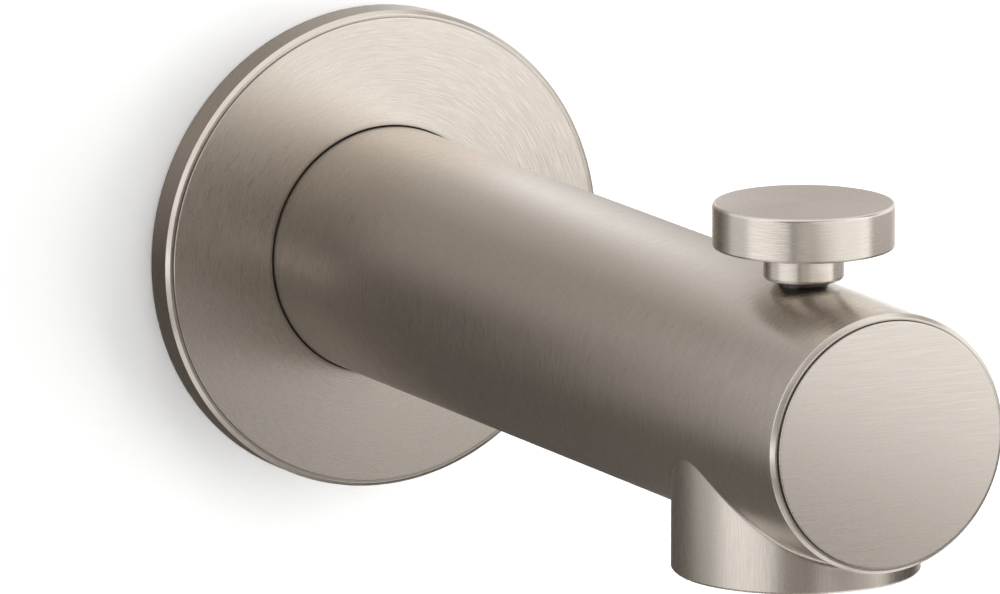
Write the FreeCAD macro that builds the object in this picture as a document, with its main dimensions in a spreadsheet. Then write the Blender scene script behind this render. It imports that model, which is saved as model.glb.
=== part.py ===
import FreeCAD, Part
import math
import os
import Sketcher

# A bath spout with a lift-up diverter. The tube's axis runs along Y: Y = 0 is the finished wall and the
# tube reaches out of it towards -Y. Z is up, and X is to the right for someone facing the wall.

SIZES = {
    # The tube and its mouth
    "tube_diameter": 44.0,
    "tube_wall": 2.5,
    "tube_back_gap": 1.0,
    "rim_from_wall": 189.05,
    "rim_width": 1.15,
    "rim_round": 0.9,
    # The outlet collar under the tube
    "outlet_from_wall": 157.4,
    "outlet_inset": 1.05,
    "outlet_drop": 5.2,
    "outlet_wall": 2.45,
    "outlet_blend": 1.2,
    "outlet_edge_bevel": 0.4,
    "ledge_below_bore": 1.0,
    "ledge_width": 2.0,
    # The disc that closes the mouth
    "cap_proud": 0.7,
    "cap_plate": 2.8,
    "cap_clearance": 0.1,
    "cap_edge_bevel": 0.2,
    "spigot_length": 6.0,
    "spigot_wall": 2.0,
    "spigot_clearance": 0.1,
    # The round wall flange
    "flange_diameter": 85.2,
    "flange_thickness": 6.6,
    "flange_face_wall": 2.2,
    "flange_rim_wall": 2.0,
    "flange_round": 1.1,
    "reveal_inset": 1.24,
    "reveal_height": 0.4,
    "reveal_bevel": 0.2,
    "flange_clearance": 0.1,
    "flange_hub_wall": 3.2,
    "flange_hub_back": 1.2,
    "flange_seal_width": 1.8,
    "flange_seal_depth": 1.6,
    "gasket_width": 8.0,
    "gasket_side_gap": 0.3,
    # The adapter that slips over the copper supply stub
    "supply_bore_diameter": 16.0,
    "supply_bore_length": 24.0,
    "sleeve_wall": 3.6,
    "adapter_collar": 5.0,
    "adapter_clearance": 0.1,
    "stop_thickness": 1.5,
    "stop_step": 1.1,
    "solder_depth": 7.0,
    "inlet_seal_from_wall": 6.5,
    "inlet_seal_section": 1.8,
    "set_screw_from_wall": 15.0,
    "set_screw_diameter": 5.0,
    "set_screw_length": 8.0,
    "set_screw_key": 2.5,
    "set_screw_key_depth": 2.6,
    "set_screw_tip_gap": 0.3,
    "screw_boss_diameter": 11.0,
    "screw_boss_gap": 0.2,
    "access_hole_diameter": 6.6,
    # The copper waterway between the adapter and the valve
    "waterway_wall": 1.0,
    "waterway_end_gap": 0.2,
    "joint_clearance": 0.05,
    # The valve housing and its sliding gate
    "stem_from_wall": 159.7,
    "lift_travel": 10.5,
    "port_height": 3.5,
    "port_diameter": 9.5,
    "port_bevel": 0.6,
    "gate_thickness": 6.0,
    "gate_head": 3.3,
    "gate_foot": 0.8,
    "gate_side": 0.9,
    "gate_corner_round": 1.0,
    "gate_back_gap": 0.5,
    "gate_side_gap": 0.3,
    "gate_end_gap": 0.3,
    "gate_floor_gap": 0.5,
    "seal_diameter": 11.8,
    "seal_thickness": 2.0,
    "seal_proud": 0.8,
    "seal_seat_gap": 0.3,
    "housing_clearance": 0.2,
    "housing_floor_wall": 2.0,
    "housing_back_wall": 3.0,
    "housing_side_wall": 5.0,
    "neck_diameter": 22.0,
    "neck_length": 11.0,
    "neck_socket_depth": 9.0,
    "port_gasket_thickness": 0.5,
    "port_plate_thickness": 2.0,
    "plate_screw_diameter": 2.5,
    "plate_screw_length": 7.0,
    "plate_screw_head_diameter": 4.5,
    "plate_screw_head": 1.4,
    "plate_screw_slot": 0.7,
    "plate_screw_slot_depth": 0.7,
    "plate_screw_inset": 2.5,
    "plate_screw_clearance": 0.15,
    "plate_screw_tip_gap": 0.5,
    # The lift rod, its gland and the knob
    "rod_diameter": 4.0,
    "rod_neck_diameter": 3.0,
    "rod_neck_length": 5.5,
    "rod_running_gap": 0.05,
    "rod_hole_gap": 0.3,
    "rod_in_knob": 8.8,
    "rod_end_gap": 0.5,
    "rod_seal_section": 1.5,
    "rod_seal_end_gap": 0.1,
    "gland_floor": 1.5,
    "bushing_head_diameter": 8.2,
    "bushing_head": 1.6,
    "bushing_proud": 0.5,
    "bushing_bevel": 0.3,
    "bushing_clearance": 0.1,
    "knob_rest_gap": 0.2,
    "knob_diameter": 30.6,
    "knob_thickness": 7.5,
    "knob_top_round": 0.6,
    "knob_under_bevel": 0.3,
    "knob_hub_diameter": 13.6,
    "knob_hub_height": 5.5,
    "knob_hub_bevel": 0.6,
    # The ring and the honeycomb in the outlet
    "outlet_ring_recess": 0.3,
    "outlet_ring_clearance": 0.1,
    "outlet_ring_lip": 4.0,
    "outlet_ring_bevel": 0.8,
    "outlet_washer_thickness": 0.8,
    "grille_thickness": 3.0,
    "grille_seat": 1.5,
    "grille_clearance": 0.1,
    "cell_width": 3.2,
    "cell_wall": 0.7,
}

NEAR = 0.001

doc = FreeCAD.newDocument("bath_spout")
sheet = doc.addObject("Spreadsheet::Sheet", "Sizes")
for row, (alias, number) in enumerate(SIZES.items(), 1):
    sheet.set(f"A{row}", alias)
    sheet.set(f"B{row}", str(number))
    sheet.setAlias(f"B{row}", alias)
doc.recompute()

# Places that several pieces share, as formulas over the sheet

TUBE_R = "(Sizes.tube_diameter / 2)"
BORE_R = f"({TUBE_R} - Sizes.tube_wall)"
TUBE_BACK_Y = "(-Sizes.tube_back_gap)"
RIM_Y = "(-Sizes.rim_from_wall)"
CAP_R = f"({TUBE_R} - Sizes.rim_width)"
MOUTH_R = f"({CAP_R} + Sizes.cap_clearance)"
CAP_FACE_Y = f"({RIM_Y} - Sizes.cap_proud)"
CAP_SEAT_Y = f"({CAP_FACE_Y} + Sizes.cap_plate)"

FLANGE_R = "(Sizes.flange_diameter / 2)"
FLANGE_BORE_R = f"({TUBE_R} + Sizes.flange_clearance)"
FLANGE_CEILING_Y = "(Sizes.flange_face_wall - Sizes.flange_thickness)"

OUTLET_Y = "(-Sizes.outlet_from_wall)"
OUTLET_R = f"({TUBE_R} - Sizes.outlet_inset)"
OUTLET_BORE_R = f"({OUTLET_R} - Sizes.outlet_wall)"
OUTLET_Z = f"(-{TUBE_R} - Sizes.outlet_drop)"
LEDGE_Z = f"(-{BORE_R} - Sizes.ledge_below_bore)"
LEDGE_R = f"({OUTLET_BORE_R} - Sizes.ledge_width)"

SUPPLY_R = "(Sizes.supply_bore_diameter / 2)"
SUPPLY_END_Y = "(-Sizes.supply_bore_length)"
SLEEVE_R = f"({SUPPLY_R} + Sizes.sleeve_wall)"
THROAT_R = f"({SUPPLY_R} - Sizes.stop_step)"
SOLDER_FLOOR_Y = f"({SUPPLY_END_Y} - Sizes.stop_thickness)"
SOLDER_MOUTH_Y = f"({SOLDER_FLOOR_Y} - Sizes.solder_depth)"
SET_SCREW_Y = "(-Sizes.set_screw_from_wall)"
SET_SCREW_R = "(Sizes.set_screw_diameter / 2)"
WATERWAY_R = f"({SUPPLY_R} - Sizes.joint_clearance)"

STEM_Y = "(-Sizes.stem_from_wall)"
SEAL_R = "(Sizes.seal_diameter / 2)"
SEAL_Z = "(Sizes.port_height - Sizes.lift_travel)"
GATE_HALF = f"({SEAL_R} + Sizes.gate_side)"
GATE_TOP_Z = f"({SEAL_Z} + {SEAL_R} + Sizes.gate_head)"
GATE_FOOT_Z = f"({SEAL_Z} - {SEAL_R} - Sizes.gate_foot)"
GATE_BACK_Y = f"({STEM_Y} + Sizes.gate_thickness / 2)"
GATE_FRONT_Y = f"({STEM_Y} - Sizes.gate_thickness / 2)"
SEAL_FRONT_Y = f"({GATE_FRONT_Y} - Sizes.seal_proud)"
CHAMBER_HALF = f"({GATE_HALF} + Sizes.gate_side_gap)"
CHAMBER_TOP_Z = f"({GATE_TOP_Z} + Sizes.lift_travel + Sizes.gate_end_gap)"
CHAMBER_FLOOR_Z = f"({GATE_FOOT_Z} - Sizes.gate_floor_gap)"
CHAMBER_BACK_Y = f"({GATE_BACK_Y} + Sizes.gate_back_gap)"
PLATE_BACK_Y = f"({SEAL_FRONT_Y} - Sizes.seal_seat_gap)"
PLATE_FRONT_Y = f"({PLATE_BACK_Y} - Sizes.port_plate_thickness)"
HOUSING_FRONT_Y = f"({PLATE_BACK_Y} + Sizes.port_gasket_thickness)"
HOUSING_BACK_Y = f"({CHAMBER_BACK_Y} + Sizes.housing_back_wall)"
HOUSING_HALF = f"({CHAMBER_HALF} + Sizes.housing_side_wall)"
HOUSING_FLOOR_Z = f"({CHAMBER_FLOOR_Z} - Sizes.housing_floor_wall)"
HOUSING_R = f"({BORE_R} - Sizes.housing_clearance)"
NECK_BACK_Y = f"({HOUSING_BACK_Y} + Sizes.neck_length)"
NECK_FLOOR_Y = f"({NECK_BACK_Y} - Sizes.neck_socket_depth)"

ROD_R = "(Sizes.rod_diameter / 2)"
ROD_NECK_R = "(Sizes.rod_neck_diameter / 2)"
ROD_SEAL_INNER_R = f"({ROD_R} + Sizes.rod_running_gap)"
GLAND_FLOOR_Z = f"({CHAMBER_TOP_Z} + Sizes.gland_floor)"
GLAND_R = f"({ROD_SEAL_INNER_R} + Sizes.rod_seal_section)"
BUSHING_SHANK_R = f"({GLAND_R} - Sizes.joint_clearance)"
BUSHING_HEAD_R = "(Sizes.bushing_head_diameter / 2)"
BUSHING_TOP_Z = f"({TUBE_R} + Sizes.bushing_proud)"
BUSHING_SEAT_Z = f"({BUSHING_TOP_Z} - Sizes.bushing_head)"
BUSHING_END_Z = f"({GLAND_FLOOR_Z} + Sizes.rod_seal_section + Sizes.rod_seal_end_gap)"
HUB_Z = f"({BUSHING_TOP_Z} + Sizes.knob_rest_gap)"
KNOB_UNDER_Z = f"({HUB_Z} + Sizes.knob_hub_height)"
KNOB_TOP_Z = f"({KNOB_UNDER_Z} + Sizes.knob_thickness)"
ROD_TOP_Z = f"({HUB_Z} + Sizes.rod_in_knob)"

RING_R = f"({OUTLET_BORE_R} - Sizes.outlet_ring_clearance)"
RING_FOOT_Z = f"({OUTLET_Z} + Sizes.outlet_ring_recess)"
RING_TOP_Z = f"({LEDGE_Z} - Sizes.outlet_washer_thickness)"
RING_LIP_R = f"({RING_R} - Sizes.outlet_ring_lip)"
GRILLE_SEAT_R = f"({RING_LIP_R} + Sizes.grille_seat)"
GRILLE_FOOT_Z = f"({RING_TOP_Z} - Sizes.grille_thickness)"


def value(formula):
    """The number that a formula over the sheet gives."""
    return float(sheet.evalExpression(formula))


def new_body(label, along_y=None):
    """An empty body; along_y is a formula for where its own origin stands on the Y axis."""
    body = doc.addObject("PartDesign::Body", label)
    body.Label = label
    if along_y:
        body.setExpression(".Placement.Base.y", along_y)
    return body


def sketch_on(body, name, role, offset=None):
    """A sketch on one of the body's own origin planes, moved along its normal by a formula."""
    plane = next(item for item in body.Origin.OriginFeatures if item.Role == role)
    sketch = body.newObject("Sketcher::SketchObject", name)
    sketch.AttachmentSupport = [(plane, "")]
    sketch.MapMode = "FlatFace"
    if offset:
        sketch.setExpression(".AttachmentOffset.Base.z", offset)
    return sketch


def hold(sketch, geometry, point, place):
    """Dimensions a point of the sketch from the sketch's origin, across and up."""
    for kind, formula in zip(("DistanceX", "DistanceY"), place):
        dimension = Sketcher.Constraint(kind, -1, 1, geometry, point, value(formula))
        number = sketch.addConstraint(dimension)
        sketch.setExpression(f"Constraints[{number}]", formula)


def polygon(sketch, corners):
    """A closed outline of straight lines through corners given as (across, up) formulas."""
    points = [FreeCAD.Vector(value(across), value(up), 0) for across, up in corners]
    first = sketch.GeometryCount
    count = len(points)
    for i in range(count):
        sketch.addGeometry(Part.LineSegment(points[i], points[(i + 1) % count]), False)
    for i in range(count):
        sketch.addConstraint(Sketcher.Constraint("Coincident", first + i, 2, first + (i + 1) % count, 1))
        hold(sketch, first + i, 1, corners[i])


def rectangle(sketch, low, high):
    """An upright rectangle between two corners given as (across, up) formulas."""
    polygon(sketch, [low, (high[0], low[1]), high, (low[0], high[1])])


def circle(sketch, centre, radius):
    """A circle about a centre given as (across, up) formulas."""
    middle = FreeCAD.Vector(value(centre[0]), value(centre[1]), 0)
    number = sketch.addGeometry(Part.Circle(middle, FreeCAD.Vector(0, 0, 1), value(radius)), False)
    hold(sketch, number, 3, centre)
    dimension = sketch.addConstraint(Sketcher.Constraint("Radius", number, value(radius)))
    sketch.setExpression(f"Constraints[{dimension}]", radius)


def turn(body, name, corners, upright=False, cut=False):
    """Turns a profile about the Y axis as (along Y, radius), or about Z as (radius, height) if upright."""
    sketch = sketch_on(body, name + "_profile", "XZ_Plane" if upright else "YZ_Plane")
    polygon(sketch, corners)
    feature = body.newObject("PartDesign::Groove" if cut else "PartDesign::Revolution", name)
    feature.Profile = sketch
    feature.ReferenceAxis = (sketch, ["V_Axis" if upright else "H_Axis"])
    feature.Angle = 360
    sketch.Visibility = False
    return feature


def pad(body, name, sketch, length, backwards=False):
    """Raises a sketch by a formula's length along its plane's normal, or against it."""
    feature = body.newObject("PartDesign::Pad", name)
    feature.Profile = sketch
    feature.setExpression("Length", length)
    feature.Reversed = backwards
    sketch.Visibility = False
    return feature


def pocket(body, name, sketch, length=None, along=False):
    """Cuts a sketch against its plane's normal, or along it; with no length it cuts through all."""
    feature = body.newObject("PartDesign::Pocket", name)
    feature.Profile = sketch
    if length:
        feature.setExpression("Length", length)
    else:
        feature.Type = "ThroughAll"
    feature.Reversed = along
    sketch.Visibility = False
    return feature


def dress(body, name, kind, size, wanted):
    """Rounds or bevels the edges of the body's last feature that the test wanted picks."""
    doc.recompute()
    base = body.Tip
    edges = [f"Edge{i}" for i, edge in enumerate(base.Shape.Edges, 1) if wanted(edge)]
    if not edges:
        raise RuntimeError(f"{name} finds no edge to dress")
    feature = body.newObject(f"PartDesign::{kind}", name)
    feature.Base = (base, edges)
    feature.setExpression("Radius" if kind == "Fillet" else "Size", size)
    return feature


def rim_at(radius, place, direction):
    """A test for the round edge of a given radius whose centre lies at a place along y or z."""
    wanted_radius = value(radius)
    wanted_place = value(place)

    def test(edge):
        curve = edge.Curve
        if curve.TypeId != "Part::GeomCircle":
            return False
        right_size = abs(curve.Radius - wanted_radius) < NEAR
        return right_size and abs(getattr(curve.Center, direction) - wanted_place) < NEAR

    return test


def square_ring(label, back_y, width, inner_radius, outer_radius):
    """A seal ring of rectangular section about the Y axis, from back_y forward by its width."""
    body = new_body(label)
    front_y = f"({back_y} - {width})"
    inner = [(back_y, inner_radius), (front_y, inner_radius)]
    outer = [(front_y, outer_radius), (back_y, outer_radius)]
    turn(body, label + "_turned", inner + outer)
    return body


def spout_body():
    """The cast tube with its outlet collar blended on underneath."""
    body = new_body("spout_body")
    tube = [(TUBE_BACK_Y, "0"), (TUBE_BACK_Y, TUBE_R), (RIM_Y, TUBE_R), (RIM_Y, "0")]
    turn(body, "tube_bar", tube)

    collar = sketch_on(body, "collar_circle", "XY_Plane")
    circle(collar, ("0", OUTLET_Y), OUTLET_R)
    pad(body, "collar", collar, f"-{OUTLET_Z}", backwards=True)

    def saddle(edge):
        box = edge.BoundBox
        return edge.Curve.TypeId == "Part::GeomBSplineCurve" and box.ZMax < -NEAR

    dress(body, "saddle_blend", "Fillet", "Sizes.outlet_blend", saddle)
    dress(body, "collar_edge", "Chamfer", "Sizes.outlet_edge_bevel", rim_at(OUTLET_R, OUTLET_Z, "z"))
    dress(body, "rim_edge", "Fillet", "Sizes.rim_round", rim_at(TUBE_R, RIM_Y, "y"))

    bore = [
        (TUBE_BACK_Y, "0"),
        (TUBE_BACK_Y, BORE_R),
        (CAP_SEAT_Y, BORE_R),
        (CAP_SEAT_Y, MOUTH_R),
        (RIM_Y, MOUTH_R),
        (RIM_Y, "0"),
    ]
    turn(body, "bore", bore, cut=True)

    passage = sketch_on(body, "passage_circle", "XY_Plane")
    circle(passage, ("0", OUTLET_Y), LEDGE_R)
    pocket(body, "passage", passage)
    collar_bore = sketch_on(body, "collar_bore_circle", "XY_Plane", LEDGE_Z)
    circle(collar_bore, ("0", OUTLET_Y), OUTLET_BORE_R)
    pocket(body, "collar_bore", collar_bore)

    roof_hole = sketch_on(body, "roof_hole_circle", "XY_Plane")
    circle(roof_hole, ("0", STEM_Y), f"{BUSHING_SHANK_R} + Sizes.bushing_clearance")
    pocket(body, "roof_hole", roof_hole, along=True)
    head_seat = sketch_on(body, "head_seat_circle", "XY_Plane", BUSHING_SEAT_Z)
    circle(head_seat, ("0", STEM_Y), f"{BUSHING_HEAD_R} + Sizes.bushing_clearance")
    pocket(body, "head_seat", head_seat, along=True)

    access_hole = sketch_on(body, "access_hole_circle", "XY_Plane")
    circle(access_hole, ("0", SET_SCREW_Y), "Sizes.access_hole_diameter / 2")
    pocket(body, "access_hole", access_hole)
    return body


def end_cap():
    """The disc that closes the mouth, on a thin spigot that presses into the bore."""
    body = new_body("end_cap")
    spigot_r = f"({BORE_R} - Sizes.spigot_clearance)"
    hollow_r = f"({spigot_r} - Sizes.spigot_wall)"
    spigot_end = f"({CAP_SEAT_Y} + Sizes.spigot_length)"
    corners = [
        (CAP_FACE_Y, "0"),
        (CAP_FACE_Y, CAP_R),
        (CAP_SEAT_Y, CAP_R),
        (CAP_SEAT_Y, spigot_r),
        (spigot_end, spigot_r),
        (spigot_end, hollow_r),
        (CAP_SEAT_Y, hollow_r),
        (CAP_SEAT_Y, "0"),
    ]
    turn(body, "cap_turned", corners)
    dress(body, "cap_edge", "Chamfer", "Sizes.cap_edge_bevel", rim_at(CAP_R, CAP_FACE_Y, "y"))
    return body


def wall_flange():
    """The hollow round flange, its seal on the tube and the soft gasket in its back."""
    body = new_body("wall_flange")
    front = "(-Sizes.flange_thickness)"
    shoulder = f"({front} + Sizes.reveal_height)"
    reveal_r = f"({FLANGE_R} - Sizes.reveal_inset)"
    cavity_r = f"({FLANGE_R} - Sizes.flange_rim_wall)"
    hub_r = f"({FLANGE_BORE_R} + Sizes.flange_hub_wall)"
    hub_back = "(-Sizes.flange_hub_back)"
    groove_back = f"({hub_back} / 2 + {front} / 2 + Sizes.flange_seal_width / 2)"
    groove_front = f"({groove_back} - Sizes.flange_seal_width)"
    groove_r = f"({FLANGE_BORE_R} + Sizes.flange_seal_depth)"
    corners = [
        ("0", cavity_r),
        ("0", FLANGE_R),
        (shoulder, FLANGE_R),
        (shoulder, reveal_r),
        (front, reveal_r),
        (front, FLANGE_BORE_R),
        (groove_front, FLANGE_BORE_R),
        (groove_front, groove_r),
        (groove_back, groove_r),
        (groove_back, FLANGE_BORE_R),
        (hub_back, FLANGE_BORE_R),
        (hub_back, hub_r),
        (FLANGE_CEILING_Y, hub_r),
        (FLANGE_CEILING_Y, cavity_r),
    ]
    turn(body, "flange_turned", corners)
    dress(body, "flange_edge", "Fillet", "Sizes.flange_round", rim_at(FLANGE_R, shoulder, "y"))
    dress(body, "reveal_edge", "Chamfer", "Sizes.reveal_bevel", rim_at(reveal_r, front, "y"))

    seal = square_ring("flange_seal", groove_back, "Sizes.flange_seal_width", TUBE_R, groove_r)
    gasket_r = f"({cavity_r} - Sizes.gasket_side_gap)"
    gasket_inner_r = f"({gasket_r} - Sizes.gasket_width)"
    gasket = square_ring("wall_gasket", "0", f"-{FLANGE_CEILING_Y}", gasket_inner_r, gasket_r)
    return [body, seal, gasket]


def inlet_adapter():
    """The brass sleeve that slips over the supply stub, with its seal and clamping screw."""
    body = new_body("inlet_adapter")
    collar_r = f"({BORE_R} - Sizes.adapter_clearance)"
    collar_y = "(-Sizes.adapter_collar)"
    groove_back = "(-Sizes.inlet_seal_from_wall + Sizes.inlet_seal_section / 2)"
    groove_front = f"({groove_back} - Sizes.inlet_seal_section)"
    groove_r = f"({SUPPLY_R} + Sizes.inlet_seal_section)"
    corners = [
        ("0", SUPPLY_R),
        ("0", collar_r),
        (collar_y, collar_r),
        (collar_y, SLEEVE_R),
        (SOLDER_MOUTH_Y, SLEEVE_R),
        (SOLDER_MOUTH_Y, SUPPLY_R),
        (SOLDER_FLOOR_Y, SUPPLY_R),
        (SOLDER_FLOOR_Y, THROAT_R),
        (SUPPLY_END_Y, THROAT_R),
        (SUPPLY_END_Y, SUPPLY_R),
        (groove_front, SUPPLY_R),
        (groove_front, groove_r),
        (groove_back, groove_r),
        (groove_back, SUPPLY_R),
    ]
    turn(body, "adapter_turned", corners)

    boss_r = "(Sizes.screw_boss_diameter / 2)"
    boss_root = f"({SUPPLY_R} / 2 + {SLEEVE_R} / 2)"
    boss_end = f"(sqrt({BORE_R} ^ 2 - {boss_r} ^ 2) - Sizes.screw_boss_gap)"
    boss = sketch_on(body, "boss_circle", "XY_Plane", f"-{boss_root}")
    circle(boss, ("0", SET_SCREW_Y), boss_r)
    pad(body, "screw_boss", boss, f"{boss_end} - {boss_root}", backwards=True)
    thread = sketch_on(body, "thread_circle", "XY_Plane")
    circle(thread, ("0", SET_SCREW_Y), f"{SET_SCREW_R} + Sizes.joint_clearance")
    pocket(body, "screw_thread", thread)

    seal = square_ring("inlet_seal", groove_back, "Sizes.inlet_seal_section", SUPPLY_R, groove_r)
    return [body, seal, set_screw()]


def set_screw():
    """The hexagon socket screw that clamps the adapter to the supply stub from below."""
    body = new_body("set_screw", SET_SCREW_Y)
    tip_z = f"(-{SUPPLY_R} - Sizes.set_screw_tip_gap)"
    foot_z = f"({tip_z} - Sizes.set_screw_length)"
    corners = [("0", tip_z), (SET_SCREW_R, tip_z), (SET_SCREW_R, foot_z), ("0", foot_z)]
    turn(body, "screw_turned", corners, upright=True)
    key = sketch_on(body, "key_hexagon", "XY_Plane", foot_z)
    polygon(key, hexagon("0", "0", "Sizes.set_screw_key"))
    pocket(body, "key_socket", key, "Sizes.set_screw_key_depth", along=True)
    return body


def hexagon(across, up, width):
    """The corners of a hexagon of a given width across its flats, two of which face left and right."""
    corner_reach = 1 / math.sqrt(3)
    corners = []
    for i in range(6):
        angle = math.radians(30 + 60 * i)
        side = f"({across} + {math.cos(angle) * corner_reach:.9f} * {width})"
        rise = f"({up} + {math.sin(angle) * corner_reach:.9f} * {width})"
        corners.append((side, rise))
    return corners


def waterway_tube():
    """The copper tube that carries the water from the adapter to the valve."""
    body = new_body("waterway_tube")
    back = f"({SOLDER_FLOOR_Y} - Sizes.waterway_end_gap)"
    front = f"({NECK_FLOOR_Y} + Sizes.waterway_end_gap)"
    inner_r = f"({WATERWAY_R} - Sizes.waterway_wall)"
    corners = [(back, inner_r), (back, WATERWAY_R), (front, WATERWAY_R), (front, inner_r)]
    turn(body, "waterway_turned", corners)
    return body


def valve_slab(body, name, back_y, front_y):
    """A slab across the tube, as wide as the valve housing and rounded off to fit the tube's bore."""
    outline = sketch_on(body, name + "_outline", "XZ_Plane", f"-{back_y}")
    rectangle(outline, (f"-{HOUSING_HALF}", HOUSING_FLOOR_Z), (HOUSING_HALF, HOUSING_R))
    pad(body, name, outline, f"{back_y} - {front_y}")
    trim = sketch_on(body, name + "_trim_rings", "XZ_Plane", f"-{front_y}")
    circle(trim, ("0", "0"), HOUSING_R)
    circle(trim, ("0", "0"), "Sizes.tube_diameter")
    pocket(body, name + "_trim", trim)


def screw_places():
    """The centres of the four plate screws, either side of the chamber, as (across, up)."""
    side = f"({CHAMBER_HALF} + Sizes.housing_side_wall / 2)"
    upper = f"({CHAMBER_TOP_Z} - Sizes.plate_screw_inset)"
    lower = f"({CHAMBER_FLOOR_Z} + Sizes.plate_screw_inset)"
    return [(side, upper), (f"-{side}", upper), (f"-{side}", lower), (side, lower)]


def screw_holes(body, name, front_y, radius, depth=None):
    """Four holes for the plate screws, cut back from a plane across the tube."""
    holes = sketch_on(body, name + "_circles", "XZ_Plane", f"-{front_y}")
    for place in screw_places():
        circle(holes, place, radius)
    pocket(body, name, holes, depth)


def chamber_window(body, name, front_y, depth=None):
    """The rounded window in which the gate slides, cut back from a plane across the tube."""
    window = sketch_on(body, name + "_outline", "XZ_Plane", f"-{front_y}")
    rectangle(window, (f"-{CHAMBER_HALF}", CHAMBER_FLOOR_Z), (CHAMBER_HALF, CHAMBER_TOP_Z))
    pocket(body, name, window, depth)


def diverter_housing():
    """The brass valve block, hung under the tube's roof by the bushing."""
    body = new_body("diverter_housing")
    valve_slab(body, "block", HOUSING_BACK_Y, HOUSING_FRONT_Y)
    neck = sketch_on(body, "neck_circle", "XZ_Plane", f"-{HOUSING_BACK_Y}")
    circle(neck, ("0", "0"), "Sizes.neck_diameter / 2")
    pad(body, "neck", neck, "Sizes.neck_length", backwards=True)

    chamber_window(body, "chamber", HOUSING_FRONT_Y, f"{CHAMBER_BACK_Y} - {HOUSING_FRONT_Y}")
    socket = sketch_on(body, "socket_circle", "XZ_Plane", f"-{NECK_BACK_Y}")
    circle(socket, ("0", "0"), SUPPLY_R)
    pocket(body, "tube_socket", socket, "Sizes.neck_socket_depth", along=True)
    inlet = sketch_on(body, "inlet_circle", "XZ_Plane", f"-{NECK_BACK_Y}")
    circle(inlet, ("0", "0"), THROAT_R)
    pocket(body, "inlet_port", inlet, f"{NECK_BACK_Y} - {CHAMBER_BACK_Y}", along=True)

    rod_hole = sketch_on(body, "rod_hole_circle", "XY_Plane")
    circle(rod_hole, ("0", STEM_Y), f"{ROD_R} + Sizes.rod_hole_gap")
    pocket(body, "rod_hole", rod_hole, along=True)
    gland = sketch_on(body, "gland_circle", "XY_Plane", GLAND_FLOOR_Z)
    circle(gland, ("0", STEM_Y), GLAND_R)
    pocket(body, "gland", gland, along=True)

    thread_r = "Sizes.plate_screw_diameter / 2 + Sizes.joint_clearance"
    clamped = "(Sizes.port_plate_thickness + Sizes.port_gasket_thickness)"
    thread_depth = f"Sizes.plate_screw_length - {clamped} + Sizes.plate_screw_tip_gap"
    screw_holes(body, "plate_threads", HOUSING_FRONT_Y, thread_r, thread_depth)
    return body


def port_gasket():
    """The thin gasket between the block and the port plate."""
    body = new_body("port_gasket")
    valve_slab(body, "gasket_sheet", HOUSING_FRONT_Y, PLATE_BACK_Y)
    chamber_window(body, "gasket_window", PLATE_BACK_Y)
    clearance_r = "Sizes.plate_screw_diameter / 2 + Sizes.plate_screw_clearance"
    screw_holes(body, "gasket_holes", PLATE_BACK_Y, clearance_r)
    return body


def port_plate():
    """The plate with the round port that the gate's seal closes."""
    body = new_body("port_plate")
    valve_slab(body, "plate", PLATE_BACK_Y, PLATE_FRONT_Y)
    port = sketch_on(body, "port_circle", "XZ_Plane", f"-{PLATE_FRONT_Y}")
    circle(port, ("0", "Sizes.port_height"), "Sizes.port_diameter / 2")
    pocket(body, "port", port)
    clearance_r = "Sizes.plate_screw_diameter / 2 + Sizes.plate_screw_clearance"
    screw_holes(body, "plate_holes", PLATE_FRONT_Y, clearance_r)
    port_rim = rim_at("Sizes.port_diameter / 2", PLATE_FRONT_Y, "y")
    dress(body, "port_flare", "Chamfer", "Sizes.port_bevel", port_rim)
    return body


def plate_screws():
    """The four cheese-head screws of the port plate, each with a level slot."""
    body = new_body("plate_screws")
    shanks = sketch_on(body, "shank_circles", "XZ_Plane", f"-{PLATE_FRONT_Y}")
    heads = sketch_on(body, "head_circles", "XZ_Plane", f"-{PLATE_FRONT_Y}")
    for place in screw_places():
        circle(shanks, place, "Sizes.plate_screw_diameter / 2")
        circle(heads, place, "Sizes.plate_screw_head_diameter / 2")
    pad(body, "screw_shanks", shanks, "Sizes.plate_screw_length", backwards=True)
    pad(body, "screw_heads", heads, "Sizes.plate_screw_head")

    slots = sketch_on(body, "slot_outlines", "XZ_Plane", f"-{PLATE_FRONT_Y} + Sizes.plate_screw_head")
    for side, height in screw_places():
        low = (f"{side} - Sizes.plate_screw_head_diameter", f"{height} - Sizes.plate_screw_slot / 2")
        high = (f"{side} + Sizes.plate_screw_head_diameter", f"{height} + Sizes.plate_screw_slot / 2")
        rectangle(slots, low, high)
    pocket(body, "screw_slots", slots, "Sizes.plate_screw_slot_depth")
    return body


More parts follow.
